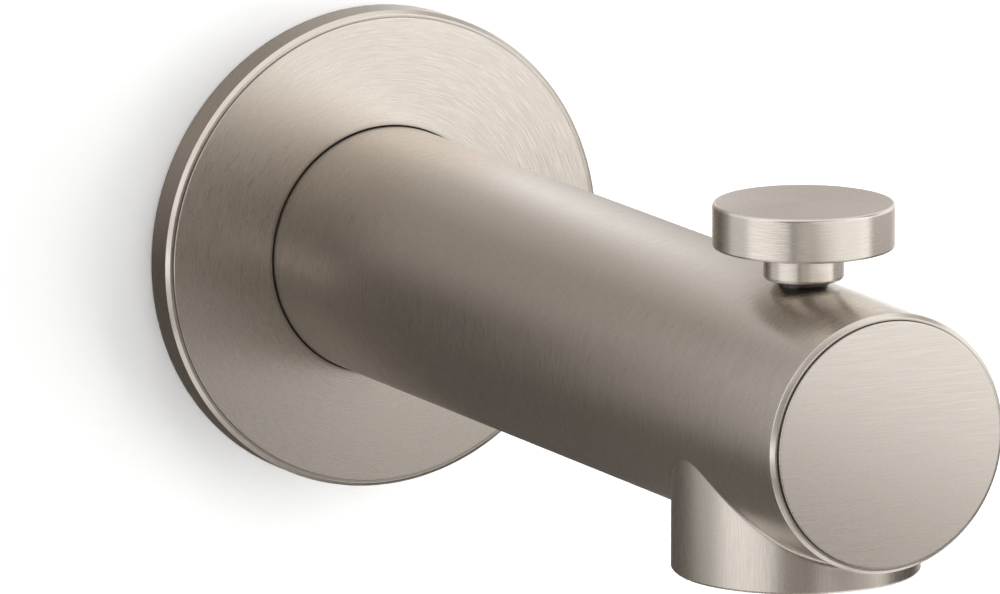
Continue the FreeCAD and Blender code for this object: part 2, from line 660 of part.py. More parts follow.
def diverter_gate():
    """The sliding gate that carries the seal, screwed to the foot of the rod."""
    body = new_body("diverter_gate")
    outline = sketch_on(body, "gate_outline", "XZ_Plane", f"-{GATE_BACK_Y}")
    rectangle(outline, (f"-{GATE_HALF}", GATE_FOOT_Z), (GATE_HALF, GATE_TOP_Z))
    pad(body, "gate_slab", outline, "Sizes.gate_thickness")

    def along_y(edge):
        box = edge.BoundBox
        return box.XLength < NEAR and box.ZLength < NEAR

    dress(body, "gate_corners", "Fillet", "Sizes.gate_corner_round", along_y)
    recess = sketch_on(body, "seal_recess_circle", "XZ_Plane", f"-{GATE_FRONT_Y}")
    circle(recess, ("0", SEAL_Z), f"{SEAL_R} + Sizes.joint_clearance")
    pocket(body, "seal_recess", recess, "Sizes.seal_thickness - Sizes.seal_proud")
    thread = sketch_on(body, "neck_thread_circle", "XY_Plane", GATE_TOP_Z)
    circle(thread, ("0", STEM_Y), f"{ROD_NECK_R} + Sizes.joint_clearance")
    pocket(body, "neck_thread", thread, "Sizes.rod_neck_length + Sizes.rod_end_gap")

    seal = new_body("gate_seal")
    seal_circle = sketch_on(seal, "gate_seal_circle", "XZ_Plane", f"-{SEAL_FRONT_Y}")
    circle(seal_circle, ("0", SEAL_Z), SEAL_R)
    pad(seal, "gate_seal_disc", seal_circle, "Sizes.seal_thickness", backwards=True)
    return [body, seal]


def lift_rod():
    """The rod from the gate up through the gland into the knob."""
    body = new_body("lift_rod", STEM_Y)
    neck_end = f"({GATE_TOP_Z} - Sizes.rod_neck_length)"
    corners = [
        ("0", neck_end),
        (ROD_NECK_R, neck_end),
        (ROD_NECK_R, GATE_TOP_Z),
        (ROD_R, GATE_TOP_Z),
        (ROD_R, ROD_TOP_Z),
        ("0", ROD_TOP_Z),
    ]
    turn(body, "rod_turned", corners, upright=True)
    return body


def rod_bushing():
    """The black gland bushing that guides the rod and clamps the valve block to the roof."""
    body = new_body("rod_bushing", STEM_Y)
    bore_r = f"({ROD_R} + Sizes.rod_running_gap)"
    corners = [
        (bore_r, BUSHING_END_Z),
        (BUSHING_SHANK_R, BUSHING_END_Z),
        (BUSHING_SHANK_R, BUSHING_SEAT_Z),
        (BUSHING_HEAD_R, BUSHING_SEAT_Z),
        (BUSHING_HEAD_R, BUSHING_TOP_Z),
        (bore_r, BUSHING_TOP_Z),
    ]
    turn(body, "bushing_turned", corners, upright=True)
    top_rim = rim_at(BUSHING_HEAD_R, BUSHING_TOP_Z, "z")
    dress(body, "bushing_edge", "Chamfer", "Sizes.bushing_bevel", top_rim)

    seal = new_body("rod_seal", STEM_Y)
    seal_top = f"({GLAND_FLOOR_Z} + Sizes.rod_seal_section)"
    rectangle_corners = [
        (ROD_SEAL_INNER_R, GLAND_FLOOR_Z),
        (GLAND_R, GLAND_FLOOR_Z),
        (GLAND_R, seal_top),
        (ROD_SEAL_INNER_R, seal_top),
    ]
    turn(seal, "rod_seal_turned", rectangle_corners, upright=True)
    return [body, seal]


def lift_knob():
    """The turned knob: a flat disc on a short hub with a blind hole for the rod."""
    body = new_body("lift_knob", STEM_Y)
    knob_r = "(Sizes.knob_diameter / 2)"
    hub_r = "(Sizes.knob_hub_diameter / 2)"
    hole_r = f"({ROD_R} + Sizes.joint_clearance)"
    hole_top = f"({ROD_TOP_Z} + Sizes.rod_end_gap)"
    corners = [
        (hole_r, HUB_Z),
        (hub_r, HUB_Z),
        (hub_r, KNOB_UNDER_Z),
        (knob_r, KNOB_UNDER_Z),
        (knob_r, KNOB_TOP_Z),
        ("0", KNOB_TOP_Z),
        ("0", hole_top),
        (hole_r, hole_top),
    ]
    turn(body, "knob_turned", corners, upright=True)
    dress(body, "knob_top_edge", "Fillet", "Sizes.knob_top_round", rim_at(knob_r, KNOB_TOP_Z, "z"))
    dress(body, "knob_under_edge", "Chamfer", "Sizes.knob_under_bevel", rim_at(knob_r, KNOB_UNDER_Z, "z"))
    dress(body, "hub_edge", "Chamfer", "Sizes.knob_hub_bevel", rim_at(hub_r, HUB_Z, "z"))
    return body


def outlet_ring():
    """The ring screwed into the collar, which holds the honeycomb against the washer."""
    body = new_body("outlet_ring", OUTLET_Y)
    corners = [
        (RING_LIP_R, RING_FOOT_Z),
        (RING_R, RING_FOOT_Z),
        (RING_R, RING_TOP_Z),
        (GRILLE_SEAT_R, RING_TOP_Z),
        (GRILLE_SEAT_R, GRILLE_FOOT_Z),
        (RING_LIP_R, GRILLE_FOOT_Z),
    ]
    turn(body, "ring_turned", corners, upright=True)
    lip_rim = rim_at(RING_LIP_R, RING_FOOT_Z, "z")
    dress(body, "lip_bevel", "Chamfer", "Sizes.outlet_ring_bevel", lip_rim)

    washer = new_body("outlet_washer", OUTLET_Y)
    washer_corners = [
        (LEDGE_R, RING_TOP_Z),
        (RING_R, RING_TOP_Z),
        (RING_R, LEDGE_Z),
        (LEDGE_R, LEDGE_Z),
    ]
    turn(washer, "washer_turned", washer_corners, upright=True)
    return [body, washer]


def stream_grille():
    """The honeycomb that straightens the stream: a centre cell and three rings of cells about it."""
    body = new_body("stream_grille", OUTLET_Y)
    disc = sketch_on(body, "grille_circle", "XY_Plane", GRILLE_FOOT_Z)
    circle(disc, ("0", "0"), f"{GRILLE_SEAT_R} - Sizes.grille_clearance")
    pad(body, "grille_disc", disc, "Sizes.grille_thickness")

    centre = sketch_on(body, "centre_cell_outline", "XY_Plane", RING_TOP_Z)
    polygon(centre, hexagon("0", "0", "Sizes.cell_width"))
    pocket(body, "centre_cell", centre)

    # The cells of one sixth, in steps along the honeycomb's two directions
    pitch = "(Sizes.cell_width + Sizes.cell_wall)"
    sixth = sketch_on(body, "sixth_cell_outlines", "XY_Plane", RING_TOP_Z)
    for ring_number in range(1, 4):
        for step in range(ring_number):
            across = f"({ring_number - step / 2} * {pitch})"
            up = f"({step * math.sqrt(3) / 2:.9f} * {pitch})"
            polygon(sixth, hexagon(across, up, "Sizes.cell_width"))
    cells = pocket(body, "sixth_of_cells", sixth)

    pattern = body.newObject("PartDesign::PolarPattern", "all_cells")
    pattern.Originals = [cells]
    pattern.Axis = (sixth, ["N_Axis"])
    pattern.Angle = 360
    pattern.Occurrences = 6
    body.Tip = pattern
    return body


pieces = [
    spout_body(),
    end_cap(),
    *wall_flange(),
    *inlet_adapter(),
    waterway_tube(),
    diverter_housing(),
    port_gasket(),
    port_plate(),
    plate_screws(),
    *diverter_gate(),
    lift_rod(),
    *rod_bushing(),
    lift_knob(),
    *outlet_ring(),
    stream_grille(),
]
doc.recompute()

for item in doc.Objects:
    if {"Invalid", "Error"} & set(item.State):
        raise RuntimeError(f"{item.Label} did not build")
for piece in pieces:
    if piece.Shape.isNull() or not piece.Shape.isValid():
        raise RuntimeError(f"{piece.Label} has no sound shape")

os.makedirs("parts", exist_ok=True)
for piece in pieces:
    piece.Shape.exportStep(f"parts/{piece.Label}.step")
    box = piece.Shape.BoundBox
    print(f"{piece.Label}: {len(piece.Shape.Solids)} solid, {piece.Shape.Volume:.1f} mm3,"
          f" X {box.XMin:.2f}..{box.XMax:.2f}, Y {box.YMin:.2f}..{box.YMax:.2f},"
          f" Z {box.ZMin:.2f}..{box.ZMax:.2f}")
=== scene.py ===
import math

import bmesh
import bpy
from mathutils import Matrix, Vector


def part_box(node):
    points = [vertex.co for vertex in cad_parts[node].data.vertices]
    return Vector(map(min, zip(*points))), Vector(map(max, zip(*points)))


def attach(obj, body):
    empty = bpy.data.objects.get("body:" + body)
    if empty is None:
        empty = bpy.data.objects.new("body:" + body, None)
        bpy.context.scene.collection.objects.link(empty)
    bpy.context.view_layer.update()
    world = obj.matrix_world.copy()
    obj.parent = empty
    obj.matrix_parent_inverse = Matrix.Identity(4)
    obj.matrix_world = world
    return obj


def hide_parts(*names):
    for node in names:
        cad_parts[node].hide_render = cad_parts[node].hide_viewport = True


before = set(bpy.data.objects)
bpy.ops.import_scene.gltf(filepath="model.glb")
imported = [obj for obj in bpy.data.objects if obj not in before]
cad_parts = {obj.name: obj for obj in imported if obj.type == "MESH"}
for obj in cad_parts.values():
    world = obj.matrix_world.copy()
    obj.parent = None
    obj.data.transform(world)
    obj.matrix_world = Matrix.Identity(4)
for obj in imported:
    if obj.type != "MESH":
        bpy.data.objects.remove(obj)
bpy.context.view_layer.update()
MM = 0.001

# The wall flange: a round brass cover, turned and hollowed from behind, then nickel plated and
# brushed on the lathe. A small step runs round its face, and its bore slips over the tube.
flange_low, flange_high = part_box("wall_flange")
FLANGE_RADIUS = flange_high.x
FLANGE_FRONT = flange_low.y
FLANGE_EDGE_BEVEL = 0.7 * MM
EASED_EDGE = 0.25 * MM
FLANGE_STEP_INSET = 1.24 * MM
FLANGE_STEP_HEIGHT = 0.4 * MM
FLANGE_STEP_ROUND = 0.2 * MM
FLANGE_BORE_RADIUS = 22.1 * MM
FLANGE_HUB_RADIUS = 25.3 * MM
FLANGE_HUB_BACK = -1.2 * MM
FLANGE_CAVITY_RADIUS = 40.6 * MM
FLANGE_CAVITY_CEILING = -4.4 * MM
SEAL_GROOVE_RADIUS = 23.7 * MM
SEAL_GROOVE_BACK = -3.0 * MM
SEAL_GROOVE_FRONT = -4.8 * MM
BROKEN_EDGE = 0.1 * MM
ROUND_STEPS = 7
CIRCLE_STEPS = 256
SHARP_EDGE = math.radians(32)
ROUND_Y = (0, 1, 0)
BRUSH_LINE_LENGTH = 3.0 * MM
BRUSH_LINE_WIDTH = 0.10 * MM
BRUSH_LINE_SIZES = (1.0, 1.7)
BRUSH_LINE_DETAIL = 2.0
SCRATCH_HEIGHT = 0.35
RIDGE_HEIGHT = 0.65
NICKEL_IN_A_SCRATCH = (0.607, 0.556, 0.500)
NICKEL_ON_A_RIDGE = (0.643, 0.592, 0.536)
NICKEL_ROUGHNESS = 0.29
NICKEL_ROUGHNESS_SPREAD = 0.05
NICKEL_BRUSH_DEPTH = 0.0035 * MM
FLANGE_BRUSH_DEPTH = 0.0025 * MM
NICKEL_SHEEN_ACROSS = 0.4
# Painted shade in narrow joints: how dark the tint gets, how far the occlusion looks, and its rays.
PAINTED_JOINT_SHADE = 0.4
PAINTED_SHADE_REACH = 1.0 * MM
PAINTED_SHADE_RAYS = 4
JOINT_OPENNESS = 0.5
FACE_OPENNESS = 0.95


def rounded(corners):
    """Outline points (radius, along) from corners (radius, along, round), with arcs at the rounds."""
    points = []
    for i, (radius, along, blend) in enumerate(corners):
        corner = Vector((radius, along))
        if not blend:
            points.append(corner)
            continue
        back = (Vector(corners[i - 1][:2]) - corner).normalized()
        ahead = (Vector(corners[(i + 1) % len(corners)][:2]) - corner).normalized()
        half = back.angle(ahead) / 2
        middle = corner + (back + ahead).normalized() * blend / math.sin(half)
        start = corner + back * blend / math.tan(half) - middle
        end = corner + ahead * blend / math.tan(half) - middle
        turn = math.pi - 2 * half
        for k in range(ROUND_STEPS + 1):
            share = k / ROUND_STEPS
            arm = start * math.sin((1 - share) * turn) + end * math.sin(share * turn)
            points.append(middle + arm / math.sin(turn))
    return points


def bridge(shape, near, far):
    """Faces between two closed rings of points, or between a ring and a single point."""
    if len(near) == 1 and len(far) == 1:
        return
    for k in range(max(len(near), len(far))):
        corners = [(near, k), (near, k + 1), (far, k + 1), (far, k)]
        shape.faces.new(dict.fromkeys(ring[i % len(ring)] for ring, i in corners))


def turned(outline, axis=ROUND_Y, centre_y=0.0, steps=CIRCLE_STEPS):
    """The closed outline (radius, along) turned a full circle about Y, or about Z through centre_y."""
    shape = bmesh.new()
    rings = []
    for radius, along in outline:
        ring = []
        for k in range(steps if radius > 0 else 1):
            side = radius * math.sin(2 * math.pi * k / steps)
            reach = radius * math.cos(2 * math.pi * k / steps)
            place = (side, along, reach) if axis == ROUND_Y else (side, centre_y + reach, along)
            ring.append(shape.verts.new(place))
        rings.append(ring)
    for near, far in zip(rings, rings[1:] + rings[:1]):
        bridge(shape, near, far)
    return shape


def finished(name, shape, body, stands_for, material):
    """The object of a shape: smooth faces with its true edges sharp, on its body and in its slot."""
    bmesh.ops.recalc_face_normals(shape, faces=shape.faces)
    for face in shape.faces:
        face.smooth = True
    mesh = bpy.data.meshes.new(name)
    shape.to_mesh(mesh)
    shape.free()
    mesh.set_sharp_from_angle(angle=SHARP_EDGE)
    mesh.materials.append(material)
    piece = bpy.data.objects.new(name, mesh)
    bpy.context.scene.collection.objects.link(piece)
    shading = piece.modifiers.new("even_shading", "WEIGHTED_NORMAL")
    shading.keep_sharp = True
    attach(piece, body)
    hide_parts(stands_for)


def add(tree, kind, inputs, **settings):
    """A shader node; inputs pairs each socket with a plain value or with another node's output."""
    made = tree.nodes.new("ShaderNode" + kind)
    for setting, value in settings.items():
        setattr(made, setting, value)
    for socket, value in inputs.items():
        if isinstance(value, bpy.types.NodeSocket):
            tree.links.new(value, made.inputs[socket])
        else:
            made.inputs[socket].default_value = value
    return made.outputs


def new_finish(name):
    """A new material with its node tree and its surface shader."""
    material = bpy.data.materials.new(name)
    material.use_nodes = True
    return material, material.node_tree, material.node_tree.nodes["Principled BSDF"]


def ramp(tree, value, stops):
    """A colour that runs through the stops (place, colour) as the value goes from 0 to 1."""
    made = tree.nodes.new("ShaderNodeValToRGB")
    tree.links.new(value, made.inputs[0])
    for i, (place, colour) in enumerate(stops):
        stop = made.color_ramp.elements[i] if i < 2 else made.color_ramp.elements.new(place)
        stop.position = place
        stop.color = (*colour, 1)
    return made.outputs["Color"]


def line_height(tree, place, gaps):
    """The height of fine lines, about 0.5. gaps is how far it stays alike along x, y and z."""
    heights = []
    for size in BRUSH_LINE_SIZES:
        scale = tuple(1 / (size * gap) for gap in gaps)
        lines = add(tree, "VectorMath", {0: place, 1: scale}, operation="MULTIPLY")[0]
        noise = {"Vector": lines, "Scale": 1.0, "Detail": BRUSH_LINE_DETAIL}
        heights.append(add(tree, "TexNoise", noise)["Fac"])
    both = add(tree, "Math", {0: heights[0], 1: heights[1]}, operation="ADD")[0]
    return add(tree, "Math", {0: both, 1: 0.5}, operation="MULTIPLY")[0]


def round_lines(tree, axis, centre=(0, 0, 0)):
    """Brush lines in circles about an axis, on the faces across it too: their height and way."""
    place = add(tree, "TexCoord", {})["Object"]
    place = add(tree, "VectorMath", {0: place, 1: centre}, operation="SUBTRACT")[0]
    way = add(tree, "VectorMath", {0: axis, 1: place}, operation="CROSS_PRODUCT")[0]
    across = tuple(1 - share for share in axis)
    flat = add(tree, "VectorMath", {0: place, 1: across}, operation="MULTIPLY")[0]
    reach = add(tree, "VectorMath", {0: flat}, operation="LENGTH")["Value"]
    place = add(tree, "VectorMath", {0: reach, 1: axis, 2: place}, operation="MULTIPLY_ADD")[0]
    gaps = [BRUSH_LINE_WIDTH if share else BRUSH_LINE_LENGTH for share in axis]
    return line_height(tree, place, gaps), way


def set_relief(tree, shader, height, depth):
    """Raises and sinks the surface by a pattern's height."""
    relief = add(tree, "Bump", {"Height": height, "Strength": 1.0, "Distance": depth})[0]
    tree.links.new(relief, shader.inputs["Normal"])


def plate_with_nickel(tree, shader, lines, way, brush_depth=NICKEL_BRUSH_DEPTH):
    """Brushed nickel from the height of its brush lines and the way they run: tint, gloss, relief,
    and the sheen that spreads across the lines. Narrow joints get painted shade: ambient occlusion
    darkens the tint there, standing in for the shadow in them."""
    tint = ramp(tree, lines, [(SCRATCH_HEIGHT, NICKEL_IN_A_SCRATCH), (RIDGE_HEIGHT, NICKEL_ON_A_RIDGE)])
    # Painted shade: ambient occlusion darkens the tint in narrow joints and creases.
    open_air = {"Distance": PAINTED_SHADE_REACH}
    painted_shade_range = {
        "Value": add(tree, "AmbientOcclusion", open_air, samples=PAINTED_SHADE_RAYS)["AO"],
        "From Min": JOINT_OPENNESS,
        "From Max": FACE_OPENNESS,
        "To Min": PAINTED_JOINT_SHADE,
        "To Max": 1.0,
    }
    shade = add(tree, "MapRange", painted_shade_range)[0]
    tint = add(tree, "VectorMath", {0: tint, "Scale": shade}, operation="SCALE")[0]
    tree.links.new(tint, shader.inputs["Base Color"])
    gloss = {
        "Value": lines,
        "From Min": SCRATCH_HEIGHT,
        "From Max": RIDGE_HEIGHT,
        "To Min": NICKEL_ROUGHNESS + NICKEL_ROUGHNESS_SPREAD,
        "To Max": NICKEL_ROUGHNESS - NICKEL_ROUGHNESS_SPREAD,
    }
    tree.links.new(add(tree, "MapRange", gloss)[0], shader.inputs["Roughness"])
    set_relief(tree, shader, lines, brush_depth)
    facing = add(tree, "NewGeometry", {})["Normal"]
    across = add(tree, "VectorMath", {0: facing, 1: way}, operation="CROSS_PRODUCT")[0]
    tree.links.new(across, shader.inputs["Tangent"])
    shader.inputs["Anisotropic"].default_value = NICKEL_SHEEN_ACROSS
    shader.inputs["Metallic"].default_value = 1.0


flange_plating, tree, shader = new_finish("flange_plating")
plate_with_nickel(tree, shader, *round_lines(tree, ROUND_Y), brush_depth=FLANGE_BRUSH_DEPTH)
flange_outline = rounded(
    [
        (FLANGE_RADIUS, 0, BROKEN_EDGE),
        (FLANGE_RADIUS, FLANGE_FRONT + FLANGE_STEP_HEIGHT + FLANGE_EDGE_BEVEL, EASED_EDGE),
        (FLANGE_RADIUS - FLANGE_EDGE_BEVEL, FLANGE_FRONT + FLANGE_STEP_HEIGHT, EASED_EDGE),
        (FLANGE_RADIUS - FLANGE_STEP_INSET, FLANGE_FRONT + FLANGE_STEP_HEIGHT, 0),
        (FLANGE_RADIUS - FLANGE_STEP_INSET, FLANGE_FRONT, FLANGE_STEP_ROUND),
        (FLANGE_BORE_RADIUS, FLANGE_FRONT, FLANGE_STEP_ROUND),
        (FLANGE_BORE_RADIUS, SEAL_GROOVE_FRONT, 0),
        (SEAL_GROOVE_RADIUS, SEAL_GROOVE_FRONT, 0),
        (SEAL_GROOVE_RADIUS, SEAL_GROOVE_BACK, 0),
        (FLANGE_BORE_RADIUS, SEAL_GROOVE_BACK, 0),
        (FLANGE_BORE_RADIUS, FLANGE_HUB_BACK, BROKEN_EDGE),
        (FLANGE_HUB_RADIUS, FLANGE_HUB_BACK, BROKEN_EDGE),
        (FLANGE_HUB_RADIUS, FLANGE_CAVITY_CEILING, BROKEN_EDGE),
        (FLANGE_CAVITY_RADIUS, FLANGE_CAVITY_CEILING, BROKEN_EDGE),
        (FLANGE_CAVITY_RADIUS, 0, BROKEN_EDGE),
    ]
)
finished("flange", turned(flange_outline), "spout", "wall_flange", flange_plating)

# The flange's seal and gasket: a black rubber ring in the bore's groove grips the tube, and a ring
# of grey closed-cell foam in the back of the flange is squeezed against the wall.
RUBBER_COLOURS = [(0.3, (0.018, 0.018, 0.019)), (0.7, (0.036, 0.036, 0.037))]
RUBBER_ROUGHNESS = 0.72
RUBBER_GRAIN = 0.5 * MM
RUBBER_GRAIN_DEPTH = 0.02 * MM
GRAIN_DETAIL = 3.0
FOAM_COLOURS = [(0.05, (0.10, 0.10, 0.11)), (0.5, (0.30, 0.30, 0.31))]
FOAM_CELL = 0.7 * MM
FOAM_CELL_DEPTH = 0.15 * MM
FOAM_ROUGHNESS = 0.9


def dress(material, *nodes):
    """Gives a finish to solids that keep the shape they were built with."""
    for node in nodes:
        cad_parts[node].material_slots[0].material = material


def moulded(name, colours, roughness, grain_size, grain_depth):
    """A moulded rubber or plastic with the faint grain of its mould."""
    material, tree, shader = new_finish(name)
    place = add(tree, "TexCoord", {})["Object"]
    noise = {"Vector": place, "Scale": 1 / grain_size, "Detail": GRAIN_DETAIL}
    grain = add(tree, "TexNoise", noise)["Fac"]
    tree.links.new(ramp(tree, grain, colours), shader.inputs["Base Color"])
    set_relief(tree, shader, grain, grain_depth)
    shader.inputs["Roughness"].default_value = roughness
    return material


black_rubber = moulded(
    "soft_rubber", RUBBER_COLOURS, RUBBER_ROUGHNESS, RUBBER_GRAIN, RUBBER_GRAIN_DEPTH
)
dress(black_rubber, "flange_seal")

grey_foam, tree, shader = new_finish("cell_foam")
place = add(tree, "TexCoord", {})["Object"]
cells = add(tree, "TexVoronoi", {"Vector": place, "Scale": 1 / FOAM_CELL})["Distance"]
tree.links.new(ramp(tree, cells, FOAM_COLOURS), shader.inputs["Base Color"])
set_relief(tree, shader, cells, FOAM_CELL_DEPTH)
shader.inputs["Roughness"].default_value = FOAM_ROUGHNESS
dress(grey_foam, "wall_gasket")

# The inlet adapter: a turned brass sleeve pressed in the back of the tube, which slips over the
# copper stub. A rubber ring seals on the stub, and a steel set screw from below clamps it.
BRASS_COLOURS = [(0.3, (0.60, 0.43, 0.20)), (0.7, (0.78, 0.60, 0.33))]
BRASS_ROUGHNESS = 0.38
BRASS_TOOL_MARKS = (3.0 * MM, 0.25 * MM, 3.0 * MM)
BRASS_MARK_DEPTH = 0.006 * MM
STEEL_COLOURS = [(0.3, (0.50, 0.50, 0.50)), (0.7, (0.64, 0.64, 0.63))]
STEEL_ROUGHNESS = 0.26
STEEL_TOOL_MARKS = (2.0 * MM, 2.0 * MM, 0.12 * MM)
STEEL_MARK_DEPTH = 0.003 * MM
METAL_ROUGHNESS_SPREAD = 0.1


def bare_metal(name, colours, roughness, marks, mark_depth):
    """A machined metal without plating. marks is how far its tool marks run along x, y and z."""
    material, tree, shader = new_finish(name)
    lines = line_height(tree, add(tree, "TexCoord", {})["Object"], marks)
    tree.links.new(ramp(tree, lines, colours), shader.inputs["Base Color"])
    set_relief(tree, shader, lines, mark_depth)
    gloss = {
        "Value": lines,
        "To Min": roughness + METAL_ROUGHNESS_SPREAD,
        "To Max": roughness - METAL_ROUGHNESS_SPREAD,
    }
    tree.links.new(add(tree, "MapRange", gloss)[0], shader.inputs["Roughness"])
    shader.inputs["Metallic"].default_value = 1.0
    return material


cast_brass = bare_metal("bare_brass", BRASS_COLOURS, BRASS_ROUGHNESS, BRASS_TOOL_MARKS, BRASS_MARK_DEPTH)
bright_steel = bare_metal(
    "bright_steel", STEEL_COLOURS, STEEL_ROUGHNESS, STEEL_TOOL_MARKS, STEEL_MARK_DEPTH
)
dress(cast_brass, "inlet_adapter")
dress(black_rubber, "inlet_seal")
dress(bright_steel, "set_screw")

# The waterway: a drawn copper tube, soldered in the adapter and in the valve, that carries the
# water along the middle of the spout.
COPPER_COLOURS = [(0.3, (0.62, 0.30, 0.18)), (0.7, (0.80, 0.46, 0.32))]
COPPER_ROUGHNESS = 0.34
COPPER_DRAW_MARKS = (0.15 * MM, 9.0 * MM, 0.15 * MM)
COPPER_MARK_DEPTH = 0.003 * MM
copper = bare_metal("drawn_copper", COPPER_COLOURS, COPPER_ROUGHNESS, COPPER_DRAW_MARKS, COPPER_MARK_DEPTH)
dress(copper, "waterway_tube")

# The spout body: a cast brass tube with a short round collar blended on underneath, its bores and
# rims machined, nickel plated and brushed round the tube and upright on the collar.
body_low, body_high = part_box("spout_body")
TUBE_RADIUS = body_high.x
TUBE_BACK = body_high.y
TUBE_MOUTH = body_low.y
TUBE_BORE_RADIUS = 19.5 * MM
TUBE_RIM_DEPTH = 0.9 * MM
TUBE_RIM_BEVEL = 0.7 * MM
MOUTH_BORE_RADIUS = 20.95 * MM
MOUTH_BORE_END = -186.95 * MM
COLLAR_RADIUS = 20.95 * MM
COLLAR_Y = -157.4 * MM
COLLAR_FOOT = body_low.z
COLLAR_BLEND = 1.2 * MM
COLLAR_EDGE_BEVEL = 0.4 * MM
COLLAR_BORE_RADIUS = 18.5 * MM
COLLAR_LEDGE = -20.5 * MM
COLLAR_PASSAGE_RADIUS = 16.5 * MM
ROOF_HOLE_Y = -159.7 * MM
ROOF_HOLE_RADIUS = 3.6 * MM
ROOF_SEAT_RADIUS = 4.2 * MM
ROOF_SEAT_HEIGHT = 20.9 * MM
KEY_HOLE_Y = -15.0 * MM
KEY_HOLE_RADIUS = 3.3 * MM
COLUMNS = 240
ROWS = 63
TOP_COLUMN = 0
BOTTOM_COLUMN = COLUMNS // 2
COLLAR_WINDOW = (BOTTOM_COLUMN, 56, 44, 61)
ROOF_WINDOW = (TOP_COLUMN, 12, 51, 56)
KEY_WINDOW = (BOTTOM_COLUMN, 12, 2, 7)
BODY_WINDOWS = (COLLAR_WINDOW, ROOF_WINDOW, KEY_WINDOW)
WINDOW_RINGS = 6
BLEND_STEPS = 8
WALL_STEPS = 8
ACROSS_THE_TUBE = (1, 0, 1)
COLLAR_BRUSHING = (0, 0, 0.02)
COLLAR_BRUSHING_START = 0.05 * MM


def tube_skin(shape, radius, stations):
    """The tube's wall at one radius: points by (column, row), with faces outside the windows."""

    def from_middle(column, window):
        return (column - window[0] + COLUMNS // 2) % COLUMNS - COLUMNS // 2

    points = {}
    for row, along in enumerate(stations):
        for column in range(COLUMNS):
            if any(abs(from_middle(column, w)) < w[1] and w[2] < row < w[3] for w in BODY_WINDOWS):
                continue
            angle = 2 * math.pi * column / COLUMNS
            place = (radius * math.sin(angle), along, radius * math.cos(angle))
            points[column, row] = shape.verts.new(place)
    for row in range(len(stations) - 1):
        for column in range(COLUMNS):
            if any(-w[1] <= from_middle(column, w) < w[1] and w[2] <= row < w[3] for w in BODY_WINDOWS):
                continue
            after = (column + 1) % COLUMNS
            corners = [(column, row), (after, row), (after, row + 1), (column, row + 1)]
            shape.faces.new([points[corner] for corner in corners])
    return points


def window_frame(points, window):
    """The points round a window in order, from the middle of its side nearest the wall."""
    middle, half, back, front = window
    path = [(side, back) for side in range(0, half)]
    path += [(half, row) for row in range(back, front)]
    path += [(side, front) for side in range(half, -half, -1)]
    path += [(-half, row) for row in range(front, back, -1)]
    path += [(side, back) for side in range(-half, 0)]
    return [points[(middle + side) % COLUMNS, row] for side, row in path]


def turns_round(window):
    """The turn from +Y of each point round a window's hole, in the order of the window's frame."""
    middle, half, back, front = window
    count = 4 * half + 2 * (front - back)
    way = -1 if middle == BOTTOM_COLUMN else 1
    return [way * 2 * math.pi * k / count for k in range(count)]


def fill_window(shape, points, window, radius, edge):
    """Rings on the tube's wall from a window's frame in to the hole's edge, the last of which is
    returned. edge gives the hole's (x, y) at a turn."""
    under = window[0] == BOTTOM_COLUMN
    ring = window_frame(points, window)
    starts = []
    ends = []
    for vert, turn in zip(ring, turns_round(window)):
        x, y = edge(turn)
        lean = math.asin(x / radius)
        starts.append((math.atan2(vert.co.x, -vert.co.z if under else vert.co.z), vert.co.y))
        ends.append((lean, y))
    for k in range(1, WINDOW_RINGS + 1):
        share = k / WINDOW_RINGS
        inner = []
        for (lean, along), (hole_lean, hole_along) in zip(starts, ends):
            angle = lean + (hole_lean - lean) * share
            height = radius * math.cos(angle)
            x = radius * math.sin(angle)
            y = along + (hole_along - along) * share
            inner.append(shape.verts.new((x, y, -height if under else height)))
        bridge(shape, ring, inner)
        ring = inner
    return ring


def carry_on(shape, ring, places):
    """A ring of new points at the places, joined to the ring before it."""
    further = [shape.verts.new(place) for place in places]
    bridge(shape, ring, further)
    return further


def circle_places(turns, radius, centre_y, height):
    """Places on a level circle; height is one number or gives the height at an x."""
    places = []
    for turn in turns:
        x = radius * math.sin(turn)
        z = height(x) if callable(height) else height
        places.append((x, centre_y + radius * math.cos(turn), z))
    return places


def hole_edge(radius, centre_y):
    """The edge of an upright hole, as (x, y) at a turn."""
    return lambda turn: (radius * math.sin(turn), centre_y + radius * math.cos(turn))


def blend_edge(turn):
    """Where the collar's blend meets the tube, as (x, y) at a turn."""
    reach = COLLAR_RADIUS + COLLAR_BLEND
    x = reach * math.sin(turn) * TUBE_RADIUS / (TUBE_RADIUS + COLLAR_BLEND)
    return x, COLLAR_Y + reach * math.cos(turn)


def blend_places(turns, share):
    """Places on the round between tube and collar: share 0 touches the tube and 1 the collar."""
    reach = COLLAR_RADIUS + COLLAR_BLEND
    places = []
    for turn in turns:
        x = reach * math.sin(turn)
        drop = math.sqrt((TUBE_RADIUS + COLLAR_BLEND) ** 2 - x * x)
        middle = Vector((x, COLLAR_Y + reach * math.cos(turn), -drop))
        to_tube = Vector((-x, 0, drop)).normalized()
        to_collar = Vector((-math.sin(turn), -math.cos(turn), 0))
        arm = to_tube.slerp(to_collar, share)
        places.append(middle + arm * COLLAR_BLEND)
    return places


body = bmesh.new()
skin_end = TUBE_MOUTH + TUBE_RIM_DEPTH
outer_stations = [TUBE_BACK + (skin_end - TUBE_BACK) * row / ROWS for row in range(ROWS + 1)]
inner_stations = outer_stations[:-1] + [MOUTH_BORE_END]
outer_skin = tube_skin(body, TUBE_RADIUS, outer_stations)
inner_skin = tube_skin(body, TUBE_BORE_RADIUS, inner_stations)
mouth_outline = rounded(
    [
        (TUBE_RADIUS, skin_end, 0),
        (TUBE_RADIUS, TUBE_MOUTH + TUBE_RIM_BEVEL, EASED_EDGE),
        (TUBE_RADIUS - TUBE_RIM_BEVEL, TUBE_MOUTH, EASED_EDGE),
        (MOUTH_BORE_RADIUS, TUBE_MOUTH, 0),
        (MOUTH_BORE_RADIUS, MOUTH_BORE_END, 0),
    ]
)[1:]
ring = [outer_skin[column, ROWS] for column in range(COLUMNS)]
